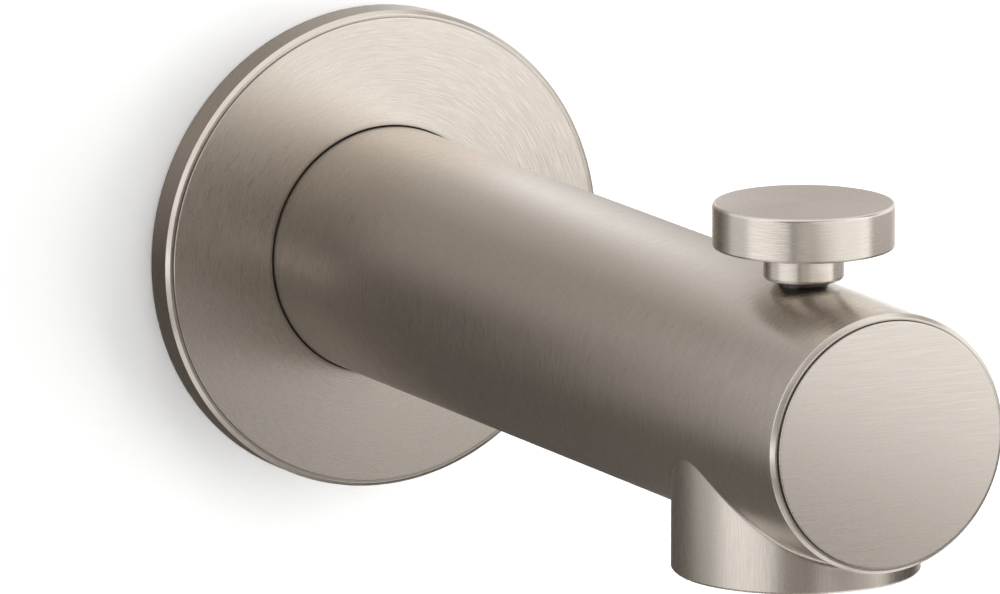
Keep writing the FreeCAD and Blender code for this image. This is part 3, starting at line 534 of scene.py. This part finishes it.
column_angles = [2 * math.pi * column / COLUMNS for column in range(COLUMNS)]
for radius, along in mouth_outline:
    places = [(radius * math.sin(angle), along, radius * math.cos(angle)) for angle in column_angles]
    ring = carry_on(body, ring, places)
bridge(body, ring, [inner_skin[column, ROWS] for column in range(COLUMNS)])
bridge(
    body,
    [outer_skin[column, 0] for column in range(COLUMNS)],
    [inner_skin[column, 0] for column in range(COLUMNS)],
)

turns = turns_round(COLLAR_WINDOW)
ring = fill_window(body, outer_skin, COLLAR_WINDOW, TUBE_RADIUS, blend_edge)
for step in range(1, BLEND_STEPS + 1):
    ring = carry_on(body, ring, blend_places(turns, step / BLEND_STEPS))
wall_top = blend_places(turns, 1)
wall_foot = COLLAR_FOOT + COLLAR_EDGE_BEVEL
for step in range(1, WALL_STEPS + 1):
    share = step / WALL_STEPS
    ring = carry_on(body, ring, [(x, y, z + (wall_foot - z) * share) for x, y, z in wall_top])
foot_outline = rounded(
    [
        (COLLAR_RADIUS, COLLAR_LEDGE, 0),
        (COLLAR_RADIUS, wall_foot, 0),
        (COLLAR_RADIUS - COLLAR_EDGE_BEVEL, COLLAR_FOOT, 0),
        (COLLAR_BORE_RADIUS, COLLAR_FOOT, BROKEN_EDGE),
        (COLLAR_BORE_RADIUS, COLLAR_LEDGE, 0),
        (COLLAR_PASSAGE_RADIUS, COLLAR_LEDGE, 0),
    ]
)[2:]
for radius, height in foot_outline:
    ring = carry_on(body, ring, circle_places(turns, radius, COLLAR_Y, height))
passage = hole_edge(COLLAR_PASSAGE_RADIUS, COLLAR_Y)
bridge(body, ring, fill_window(body, inner_skin, COLLAR_WINDOW, TUBE_BORE_RADIUS, passage))

turns = turns_round(ROOF_WINDOW)
ring = fill_window(body, outer_skin, ROOF_WINDOW, TUBE_RADIUS, hole_edge(ROOF_SEAT_RADIUS, ROOF_HOLE_Y))
for radius in (ROOF_SEAT_RADIUS, ROOF_HOLE_RADIUS):
    ring = carry_on(body, ring, circle_places(turns, radius, ROOF_HOLE_Y, ROOF_SEAT_HEIGHT))
roof_hole = hole_edge(ROOF_HOLE_RADIUS, ROOF_HOLE_Y)
bridge(body, ring, fill_window(body, inner_skin, ROOF_WINDOW, TUBE_BORE_RADIUS, roof_hole))

key_hole = hole_edge(KEY_HOLE_RADIUS, KEY_HOLE_Y)
ring = fill_window(body, outer_skin, KEY_WINDOW, TUBE_RADIUS, key_hole)
bridge(body, ring, fill_window(body, inner_skin, KEY_WINDOW, TUBE_BORE_RADIUS, key_hole))

body_plating, tree, shader = new_finish("body_plating")
tube_lines, tube_brushing = round_lines(tree, ROUND_Y)
place = add(tree, "TexCoord", {})["Object"]
collar_gaps = (BRUSH_LINE_WIDTH, BRUSH_LINE_WIDTH, BRUSH_LINE_LENGTH)
collar_lines = line_height(tree, place, collar_gaps)
off_axis = add(tree, "VectorMath", {0: place, 1: ACROSS_THE_TUBE}, operation="MULTIPLY")[0]
past_tube = {
    "Value": add(tree, "VectorMath", {0: off_axis}, operation="LENGTH")["Value"],
    "From Min": TUBE_RADIUS + COLLAR_BRUSHING_START,
    "From Max": TUBE_RADIUS + COLLAR_BLEND,
}
on_collar = add(tree, "MapRange", past_tube)[0]
body_lines = add(tree, "Mix", {"Factor": on_collar, "A": tube_lines, "B": collar_lines})[0]
ways = {0: on_collar, 4: tube_brushing, 5: COLLAR_BRUSHING}
body_way = add(tree, "Mix", ways, data_type="VECTOR")[1]
plate_with_nickel(tree, shader, body_lines, body_way)
finished("body", body, "spout", "spout_body", body_plating)

# The valve: a brass block hung under the tube's roof, with a rubber gasket and a port plate that
# four steel screws hold on. The waterway ends in its neck.
dress(cast_brass, "diverter_housing", "port_plate")
dress(black_rubber, "port_gasket")
dress(bright_steel, "plate_screws")

# The gate: a moulded acetal slide with a rubber disc, on the end of a stainless rod. Lifted, the
# disc covers the port and the water's pressure holds it there.
ACETAL_COLOURS = [(0.3, (0.70, 0.69, 0.65)), (0.7, (0.78, 0.77, 0.73))]
ACETAL_ROUGHNESS = 0.42
ACETAL_GRAIN = 0.6 * MM
ACETAL_GRAIN_DEPTH = 0.01 * MM
white_acetal = moulded(
    "white_acetal", ACETAL_COLOURS, ACETAL_ROUGHNESS, ACETAL_GRAIN, ACETAL_GRAIN_DEPTH
)
dress(white_acetal, "diverter_gate")
dress(black_rubber, "gate_seal")
dress(bright_steel, "lift_rod")

# The bushing: turned from black acetal, screwed down through the tube's roof into the valve. It
# guides the rod, and a rubber ring under it keeps the water in.
bushing_low, bushing_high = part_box("rod_bushing")
BUSHING_BORE_RADIUS = 2.05 * MM
BUSHING_SHANK_RADIUS = 3.5 * MM
BUSHING_HEAD_ROUND = 0.3 * MM
BUSHING_CIRCLE_STEPS = 96
ROUND_Z = (0, 0, 1)
BLACK_ACETAL_COLOURS = [(0.3, (0.012, 0.012, 0.012)), (0.7, (0.022, 0.022, 0.022))]
BLACK_ACETAL_ROUGHNESS = 0.24
bushing_outline = rounded(
    [
        (BUSHING_BORE_RADIUS, bushing_low.z, BROKEN_EDGE),
        (BUSHING_SHANK_RADIUS, bushing_low.z, BROKEN_EDGE),
        (BUSHING_SHANK_RADIUS, ROOF_SEAT_HEIGHT, 0),
        (bushing_high.x, ROOF_SEAT_HEIGHT, BROKEN_EDGE),
        (bushing_high.x, bushing_high.z, BUSHING_HEAD_ROUND),
        (BUSHING_BORE_RADIUS, bushing_high.z, BROKEN_EDGE),
    ]
)
black_acetal = moulded(
    "black_acetal", BLACK_ACETAL_COLOURS, BLACK_ACETAL_ROUGHNESS, ACETAL_GRAIN, ACETAL_GRAIN_DEPTH
)
bushing = turned(bushing_outline, ROUND_Z, ROOF_HOLE_Y, BUSHING_CIRCLE_STEPS)
finished("bushing", bushing, "spout", "rod_bushing", black_acetal)
dress(black_rubber, "rod_seal")

# The lift knob: one turned brass piece, a thick disc on a short hub, nickel plated and brushed on
# the lathe. It is screwed on the top of the rod.
knob_low, knob_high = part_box("lift_knob")
KNOB_RADIUS = knob_high.x
KNOB_HUB_RADIUS = 6.8 * MM
KNOB_HUB_ROUND = 0.8 * MM
KNOB_UNDERSIDE = 28.2 * MM
KNOB_TOP_ROUND = 0.6 * MM
KNOB_UNDER_ROUND = 0.45 * MM
KNOB_ROD_HOLE_RADIUS = 2.05 * MM
KNOB_ROD_HOLE_TOP = 32.0 * MM
knob_outline = rounded(
    [
        (KNOB_ROD_HOLE_RADIUS, knob_low.z, BROKEN_EDGE),
        (KNOB_HUB_RADIUS, knob_low.z, KNOB_HUB_ROUND),
        (KNOB_HUB_RADIUS, KNOB_UNDERSIDE, BROKEN_EDGE),
        (KNOB_RADIUS, KNOB_UNDERSIDE, KNOB_UNDER_ROUND),
        (KNOB_RADIUS, knob_high.z, KNOB_TOP_ROUND),
        (0, knob_high.z, 0),
        (0, KNOB_ROD_HOLE_TOP, 0),
        (KNOB_ROD_HOLE_RADIUS, KNOB_ROD_HOLE_TOP, 0),
    ]
)
knob_plating, tree, shader = new_finish("knob_plating")
plate_with_nickel(tree, shader, *round_lines(tree, ROUND_Z, (0, ROOF_HOLE_Y, 0)))
knob = turned(knob_outline, ROUND_Z, ROOF_HOLE_Y)
finished("knob", knob, "diverter", "lift_knob", knob_plating)

# The end cap: a turned brass disc with a thin spigot, pushed in the tube's mouth and standing just
# proud of it. Its face is brushed straight across.
cap_low, cap_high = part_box("end_cap")
CAP_RADIUS = cap_high.x
CAP_FACE = cap_low.y
CAP_EDGE_ROUND = 0.2 * MM
CAP_SPIGOT_RADIUS = 19.4 * MM
CAP_SPIGOT_BORE_RADIUS = 17.4 * MM
CAP_BRUSHING = (1, 0, 0)
cap_outline = rounded(
    [
        (0, CAP_FACE, 0),
        (CAP_RADIUS, CAP_FACE, CAP_EDGE_ROUND),
        (CAP_RADIUS, MOUTH_BORE_END, 0),
        (CAP_SPIGOT_RADIUS, MOUTH_BORE_END, 0),
        (CAP_SPIGOT_RADIUS, cap_high.y, BROKEN_EDGE),
        (CAP_SPIGOT_BORE_RADIUS, cap_high.y, BROKEN_EDGE),
        (CAP_SPIGOT_BORE_RADIUS, MOUTH_BORE_END, BROKEN_EDGE),
        (0, MOUTH_BORE_END, 0),
    ]
)
cap_plating, tree, shader = new_finish("cap_plating")
cap_gaps = (2 * BRUSH_LINE_LENGTH, BRUSH_LINE_LENGTH, BRUSH_LINE_WIDTH)
cap_lines = line_height(tree, add(tree, "TexCoord", {})["Object"], cap_gaps)
plate_with_nickel(tree, shader, cap_lines, CAP_BRUSHING)
finished("cap", turned(cap_outline), "spout", "end_cap", cap_plating)

# The outlet: a satin nickel ring screwed up into the collar over a rubber washer, which carries
# the moulded honeycomb that keeps the stream straight.
outlet_low, outlet_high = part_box("outlet_ring")
OUTLET_RING_RADIUS = outlet_high.x
OUTLET_SEAT_RADIUS = 15.9 * MM
OUTLET_SEAT_HEIGHT = -24.3 * MM
OUTLET_LIP_RADIUS = 14.4 * MM
OUTLET_LIP_BEVEL = 0.8 * MM
OUTLET_EDGE_ROUND = 0.25 * MM
GRILLE_COLOURS = [(0.3, (0.50, 0.50, 0.49)), (0.7, (0.58, 0.58, 0.57))]
GRILLE_ROUGHNESS = 0.5
outlet_outline = rounded(
    [
        (OUTLET_RING_RADIUS, outlet_low.z, OUTLET_EDGE_ROUND),
        (OUTLET_RING_RADIUS, outlet_high.z, BROKEN_EDGE),
        (OUTLET_SEAT_RADIUS, outlet_high.z, BROKEN_EDGE),
        (OUTLET_SEAT_RADIUS, OUTLET_SEAT_HEIGHT, 0),
        (OUTLET_LIP_RADIUS, OUTLET_SEAT_HEIGHT, BROKEN_EDGE),
        (OUTLET_LIP_RADIUS, outlet_low.z + OUTLET_LIP_BEVEL, BROKEN_EDGE),
        (OUTLET_LIP_RADIUS + OUTLET_LIP_BEVEL, outlet_low.z, BROKEN_EDGE),
    ]
)
ring_plating, tree, shader = new_finish("ring_plating")
plate_with_nickel(tree, shader, *round_lines(tree, ROUND_Z, (0, COLLAR_Y, 0)))
outlet = turned(outlet_outline, ROUND_Z, COLLAR_Y)
finished("outlet", outlet, "spout", "outlet_ring", ring_plating)
dress(black_rubber, "outlet_washer")
grille_grey = moulded("grille_grey", GRILLE_COLOURS, GRILLE_ROUGHNESS, ACETAL_GRAIN, ACETAL_GRAIN_DEPTH)
dress(grille_grey, "stream_grille")

# The wall and the floor: the spout hangs on a matt white wall, and a pale floor lies far below. Both
# show only from their front, so that the wall never hides the spout from behind.
WALL_GAP = 0.1 * MM
ROOM_HALF_WIDTH = 3.0
ROOM_DEPTH = 6.0
ROOM_TOP = 3.0
FLOOR_HEIGHT = -1.25
WALL_WHITE = (0.90, 0.90, 0.90)
FLOOR_WHITE = (0.84, 0.84, 0.83)
PAINT_ROUGHNESS = 0.9
WALL_LIFT = 0.2
FLOOR_LIFT = 0.2


def upright(left, right, low, high, y):
    """The corners of an upright rectangle that lies along the wall, at y."""
    return [(left, y, low), (right, y, low), (right, y, high), (left, y, high)]


def level(left, right, front, back, height):
    """The corners of a level rectangle."""
    return [(left, front, height), (right, front, height), (right, back, height), (left, back, height)]


def flat_mesh(name, corners):
    """A mesh of one flat face."""
    mesh = bpy.data.meshes.new(name)
    mesh.from_pydata(corners, [], [range(len(corners))])
    return mesh


def stand(name, mesh, material):
    """A stage object of a mesh in one material."""
    mesh.materials.append(material)
    surface = bpy.data.objects.new(name, mesh)
    bpy.context.scene.collection.objects.link(surface)
    return surface


def backdrop(name, corners, colour, lift):
    """A matt pale surface that takes the shadows and shows only from its front. Where it is seen
    straight or in the metal, lift is added to the lamps' light."""
    material, tree, shader = new_finish(name)
    shader.inputs["Base Color"].default_value = (*colour, 1)
    shader.inputs["Roughness"].default_value = PAINT_ROUGHNESS
    shader.inputs["Specular IOR Level"].default_value = 0.0
    ray = add(tree, "LightPath", {})
    seen = add(tree, "Math", {0: ray["Is Camera Ray"], 1: ray["Is Glossy Ray"]}, operation="MAXIMUM")[0]
    seen = add(tree, "Math", {0: seen, 1: ray["Is Transmission Ray"]}, operation="MAXIMUM")[0]
    glow = add(tree, "Math", {0: seen, 1: lift}, operation="MULTIPLY")[0]
    tree.links.new(glow, shader.inputs["Emission Strength"])
    shader.inputs["Emission Color"].default_value = (1, 1, 1, 1)
    behind = add(tree, "NewGeometry", {})["Backfacing"]
    clear = add(tree, "BsdfTransparent", {})[0]
    shown = add(tree, "MixShader", {0: behind, 1: shader.outputs[0], 2: clear})[0]
    tree.links.new(shown, tree.nodes["Material Output"].inputs["Surface"])
    stand(name, flat_mesh(name, corners), material)


wall_corners = upright(-ROOM_HALF_WIDTH, ROOM_HALF_WIDTH, FLOOR_HEIGHT, ROOM_TOP, WALL_GAP)
floor_corners = level(-ROOM_HALF_WIDTH, ROOM_HALF_WIDTH, -ROOM_DEPTH, WALL_GAP, FLOOR_HEIGHT)
backdrop("wall", wall_corners, WALL_WHITE, WALL_LIFT)
backdrop("floor", floor_corners, FLOOR_WHITE, FLOOR_LIFT)

# The rings on the wall: the nickel mirrors the wall close round the flange. Three flat glowing
# rings lie there, seen only in the nickel, one round another, each with light and dark parts round the
# spout.
DIM_TINT = (1.0, 0.86, 0.75)
AROUND = "around"
UPWARD = (0, 0, 1)
RING_STEPS = 72
RING_RADII = (FLANGE_RADIUS + WALL_GAP, 0.10, 0.17, 1.2)
NEAR_RING_SHADES = [
    (-180, 0.10),
    (-90, 0.10),
    (-60, 0.32),
    (-30, 0.37),
    (0, 0.60),
    (30, 1.25),
    (60, 0.75),
    (90, 0.30),
    (120, 1.5),
    (148, 0.05),
    (180, 0.10),
]
MIDDLE_RING_SHADES = [
    (-180, 0.14),
    (-120, 0.14),
    (-95, 0.28),
    (-60, 0.32),
    (-30, 0.28),
    (0, 0.7),
    (30, 0.6),
    (60, 0.6),
    (90, 2.1),
    (120, 2.7),
    (150, 0.3),
    (180, 0.14),
]
FAR_RING_SHADES = [
    (-180, 0.1),
    (-120, 0.1),
    (-90, 1.0),
    (-60, 1.15),
    (0, 0.8),
    (60, 1.25),
    (120, 0.6),
    (150, 1.2),
    (180, 0.1),
]


def card(name, mesh, shades, run=UPWARD):
    """A glowing card that lights nothing and shows only in the metal's reflections. Its shades are
    stops (place, brightness) along the direction run, in metres, or AROUND the spout from straight
    up, in degrees. Dim shades are browner than bright ones."""
    material = bpy.data.materials.new(name)
    material.use_nodes = True
    tree = material.node_tree
    place = add(tree, "TexCoord", {})["Object"]
    if run == AROUND:
        split = add(tree, "SeparateXYZ", {0: place})
        angle = add(tree, "Math", {0: split["X"], 1: split["Z"]}, operation="ARCTAN2")[0]
        along = add(tree, "Math", {0: angle}, operation="DEGREES")[0]
    else:
        along = add(tree, "VectorMath", {0: place, 1: run}, operation="DOT_PRODUCT")["Value"]
    first = shades[0][0]
    last = shades[-1][0]
    share = add(tree, "MapRange", {"Value": along, "From Min": first, "From Max": last})[0]
    top = max(shade for at, shade in shades)
    stops = []
    for at, shade in shades:
        colour = [shade / top * (tint + (1 - tint) * min(shade, 1)) for tint in DIM_TINT]
        stops.append(((at - first) / (last - first), colour))
    light = add(tree, "Emission", {"Color": ramp(tree, share, stops), "Strength": top})[0]
    tree.links.new(light, tree.nodes["Material Output"].inputs["Surface"])
    surface = stand(name, mesh, material)
    surface.visible_camera = False
    surface.visible_diffuse = False
    surface.visible_transmission = False
    surface.visible_shadow = False


def wall_ring(name, radii, shades):
    """A card on the wall between two circles round the flange."""
    angles = [2 * math.pi * k / RING_STEPS for k in range(RING_STEPS)]
    shape = bmesh.new()
    circles = []
    for radius in radii:
        places = [(radius * math.sin(angle), -WALL_GAP, radius * math.cos(angle)) for angle in angles]
        circles.append([shape.verts.new(place) for place in places])
    bridge(shape, *circles)
    mesh = bpy.data.meshes.new(name)
    shape.to_mesh(mesh)
    shape.free()
    card(name, mesh, shades, AROUND)


wall_ring("near_ring", RING_RADII[0:2], NEAR_RING_SHADES)
wall_ring("middle_ring", RING_RADII[1:3], MIDDLE_RING_SHADES)
wall_ring("far_ring", RING_RADII[2:4], FAR_RING_SHADES)

# The cards in front: glowing cards, seen only in the metal, stand 30 cm out from the wall, ahead
# of the spout. The end disc, the tube's side, the collar and the knob mirror them, each from its own part
# of the group.
FRONT_PLACE = -0.30
FRONT_CORNERS = upright(-0.05, 0.27, -0.2, 0.09, FRONT_PLACE)
FRONT_SLOPE = (0.45, 0, 1)
FRONT_SHADES = [
    (-0.10, 0.2),
    (-0.03, 0.15),
    (-0.01, 0.6),
    (0.005, 1.05),
    (0.02, 1.5),
    (0.05, 1.2),
    (0.10, 1.5),
    (0.15, 1.9),
]
LOW_PLACE = FRONT_PLACE + 1.0 * MM
LOW_CORNERS = [
    (-0.03, LOW_PLACE, -0.075),
    (0.09, LOW_PLACE, -0.09),
    (0.09, LOW_PLACE, -0.058),
    (0.02, LOW_PLACE, -0.055),
    (0.0, LOW_PLACE, -0.04),
    (-0.03, LOW_PLACE, -0.04),
]
LOW_SHADES = [(-0.09, 0.8), (-0.055, 0.8), (-0.04, 0.45)]
SIDE_CORNERS = upright(0.14, 0.25, -0.16, -0.02, LOW_PLACE)
SIDE_SHADES = [(-0.16, 0.6), (-0.085, 0.6), (-0.06, 1.4), (-0.045, 1.9), (-0.02, 1.9)]
GAP_CORNERS = upright(-0.115, -0.05, -0.08, 0.06, FRONT_PLACE)
GAP_SHADES = [(-0.08, 0.3), (-0.03, 0.35), (0.0, 0.75), (0.06, 0.75)]
BROW_CORNERS = upright(-0.16, 0.3, 0.09, 0.3, FRONT_PLACE)
BROW_SHADES = [(-0.16, 0.25), (-0.03, 0.5), (0.04, 0.9), (0.11, 1.6), (0.2, 1.9)]
RIGHTWARD = (1, 0, 0)


def flat_card(name, corners, shades, run=UPWARD):
    """A card of one flat face."""
    card(name, flat_mesh(name, corners), shades, run)


flat_card("front_card", FRONT_CORNERS, FRONT_SHADES, FRONT_SLOPE)
flat_card("low_card", LOW_CORNERS, LOW_SHADES)
flat_card("side_card", SIDE_CORNERS, SIDE_SHADES)
flat_card("gap_card", GAP_CORNERS, GAP_SHADES)
flat_card("brow_card", BROW_CORNERS, BROW_SHADES, RIGHTWARD)

# The cards beside and above: the long side of the tube mirrors a large one far to the left. A small
# one stands close on the right, and a level one hangs over the tube's back and the knob.
LEFT_PLACE = -0.7
LEFT_CORNERS = [
    (LEFT_PLACE, -0.85, -0.6),
    (LEFT_PLACE, 0, -0.6),
    (LEFT_PLACE, 0, 0.5),
    (LEFT_PLACE, -0.5, 0.5),
    (LEFT_PLACE, -0.5, 0),
    (LEFT_PLACE, -0.85, 0),
]
LEFT_SLOPE = (0, -0.063, 1)
LEFT_SHADES = [
    (-0.6, 1.0),
    (-0.27, 1.0),
    (-0.20, 0.3),
    (-0.165, 1.1),
    (-0.13, 2.0),
    (-0.09, 2.0),
    (-0.04, 1.0),
    (0.08, 1.0),
    (0.16, 1.6),
    (0.5, 1.6),
]
RIGHT_PLACE = 0.31
RIGHT_CORNERS = [
    (RIGHT_PLACE, -0.3, -0.2),
    (RIGHT_PLACE, 0, -0.2),
    (RIGHT_PLACE, 0, 0.2),
    (RIGHT_PLACE, -0.3, 0.2),
]
RIGHT_SHADES = [(-0.09, 0.05), (-0.04, 0.55), (0.07, 1.4)]
HIGH_PLACE = 0.5
HIGH_CORNERS = [
    (LEFT_PLACE, -0.6, HIGH_PLACE),
    (0.35, -0.4, HIGH_PLACE),
    (0.35, -0.03, HIGH_PLACE),
    (LEFT_PLACE, -0.03, HIGH_PLACE),
]
HIGH_SHADES = [(0, 1.3), (1, 1.3)]
flat_card("left_card", LEFT_CORNERS, LEFT_SHADES, LEFT_SLOPE)
flat_card("right_card", RIGHT_CORNERS, RIGHT_SHADES)
flat_card("high_card", HIGH_CORNERS, HIGH_SHADES)

# The cards below: three level glowing ones lie under the spout, where the tube's underside and the
# collar mirror them. Below them spreads a dim glowing table top, also seen only in the metal.
BOUNCE_PLACE = -0.25
BOUNCE_CORNERS = [
    (-0.2, -0.26, BOUNCE_PLACE),
    (0.06, -0.23, BOUNCE_PLACE),
    (0.06, 0, BOUNCE_PLACE),
    (-0.12, 0, BOUNCE_PLACE),
]
BOUNCE_SHADES = [
    (-0.26, 0.9),
    (-0.22, 1.6),
    (-0.185, 1.6),
    (-0.17, 0.3),
    (-0.1, 0.3),
    (-0.06, 0.8),
    (0.0, 0.4),
]
HEEL_CORNERS = level(0.06, 0.2, -0.17, 0, BOUNCE_PLACE)
HEEL_SHADES = [(-0.17, 1.5), (-0.1, 1.5), (-0.05, 0.7), (0.0, 0.4)]
TOWARD_WALL = (0, 1, 0)
FOOT_PLACE = -0.3
FOOT_CORNERS = [
    (-0.5, -0.42, FOOT_PLACE),
    (-0.2, -0.33, FOOT_PLACE),
    (-0.15, 0, FOOT_PLACE),
    (-0.5, 0, FOOT_PLACE),
]
FOOT_SHADES = [(0, 1.0), (1, 1.0)]
TENT_RADIUS = RING_RADII[-1]
TABLE_HEIGHT = -0.35
TABLE_CORNERS = level(-TENT_RADIUS, TENT_RADIUS, -TENT_RADIUS, 0, TABLE_HEIGHT)
TABLE_SHADES = [(0, 0.15), (1, 0.15)]
flat_card("foot_card", FOOT_CORNERS, FOOT_SHADES)
flat_card("bounce_card", BOUNCE_CORNERS, BOUNCE_SHADES, TOWARD_WALL)
flat_card("heel_card", HEEL_CORNERS, HEEL_SHADES, TOWARD_WALL)
flat_card("table", TABLE_CORNERS, TABLE_SHADES)

# The tent: half a ball that glows dimly closes the studio in front of the wall, seen only in the
# metal. It glows brighter towards its top.
TENT_ROWS = 11
TENT_COLUMNS = 48
TENT_SHADES = [(-0.35, 0.05), (0.4, 0.1), (0.9, 0.5)]
tent = bmesh.new()
rings = []
for row in range(TENT_ROWS + 1):
    rise = math.pi / 2 * row / TENT_ROWS
    radius = TENT_RADIUS * math.cos(rise)
    ring = []
    for column in range(TENT_COLUMNS if row < TENT_ROWS else 1):
        angle = 2 * math.pi * column / TENT_COLUMNS
        place = (radius * math.sin(angle), -TENT_RADIUS * math.sin(rise), radius * math.cos(angle))
        ring.append(tent.verts.new(place))
    rings.append(ring)
for near, far in zip(rings, rings[1:]):
    bridge(tent, near, far)
tent_mesh = bpy.data.meshes.new("tent")
tent.to_mesh(tent_mesh)
tent.free()
card("tent", tent_mesh, TENT_SHADES)

# The lamps and the air: four soft boxes look at the flange and throw its soft shadow on the wall.
# The nickel doesn't mirror them. White air adds a little light from everywhere.
AIR_WHITE = (1, 1, 1, 1)
AIR_GLOW = 0.2


def soft_lamp(name, place, width, height, power):
    """A soft box that looks at the middle of the flange."""
    data = bpy.data.lights.new(name, "AREA")
    data.shape = "RECTANGLE"
    data.size = width
    data.size_y = height
    data.energy = power
    lamp = bpy.data.objects.new(name, data)
    lamp.location = place
    lamp.rotation_euler = (-Vector(place)).to_track_quat("-Z", "Y").to_euler()
    lamp.visible_glossy = False
    bpy.context.scene.collection.objects.link(lamp)


soft_lamp("tall_lamp", place=(1.45, -0.45, 0.0), width=0.6, height=2.4, power=55.0)
soft_lamp("high_lamp", place=(0.81, -0.29, 1.23), width=0.8, height=0.8, power=17.0)
soft_lamp("front_lamp", place=(0.22, -0.83, 1.23), width=0.8, height=0.8, power=5.0)
soft_lamp("low_lamp", place=(0.36, -1.36, -0.51), width=0.8, height=0.8, power=2.3)
air = bpy.data.worlds.new("studio_air")
air.use_nodes = True
air.node_tree.nodes["Background"].inputs["Color"].default_value = AIR_WHITE
air.node_tree.nodes["Background"].inputs["Strength"].default_value = AIR_GLOW
bpy.context.scene.world = air

# The camera: it stands 2.6 metres away, to the left of the spout and above it, and looks down on it
# a little through a long lens.
CAMERA_YAW = math.radians(-27.59)
CAMERA_PITCH = math.radians(11.697)
CAMERA_PLACE = (-1.1781, -2.3048, 0.5261)
CAMERA_LENS = 539.26
CAMERA_SENSOR = 36
CAMERA_REACH = 20
camera_data = bpy.data.cameras.new("camera")
camera_data.lens = CAMERA_LENS
camera_data.sensor_width = CAMERA_SENSOR
camera_data.clip_end = CAMERA_REACH
camera = bpy.data.objects.new("camera", camera_data)
bpy.context.scene.collection.objects.link(camera)
camera.location = CAMERA_PLACE
camera.rotation_euler = (math.pi / 2 - CAMERA_PITCH, 0, CAMERA_YAW)
bpy.context.scene.camera = camera
bpy.context.scene.view_settings.view_transform = "Standard"
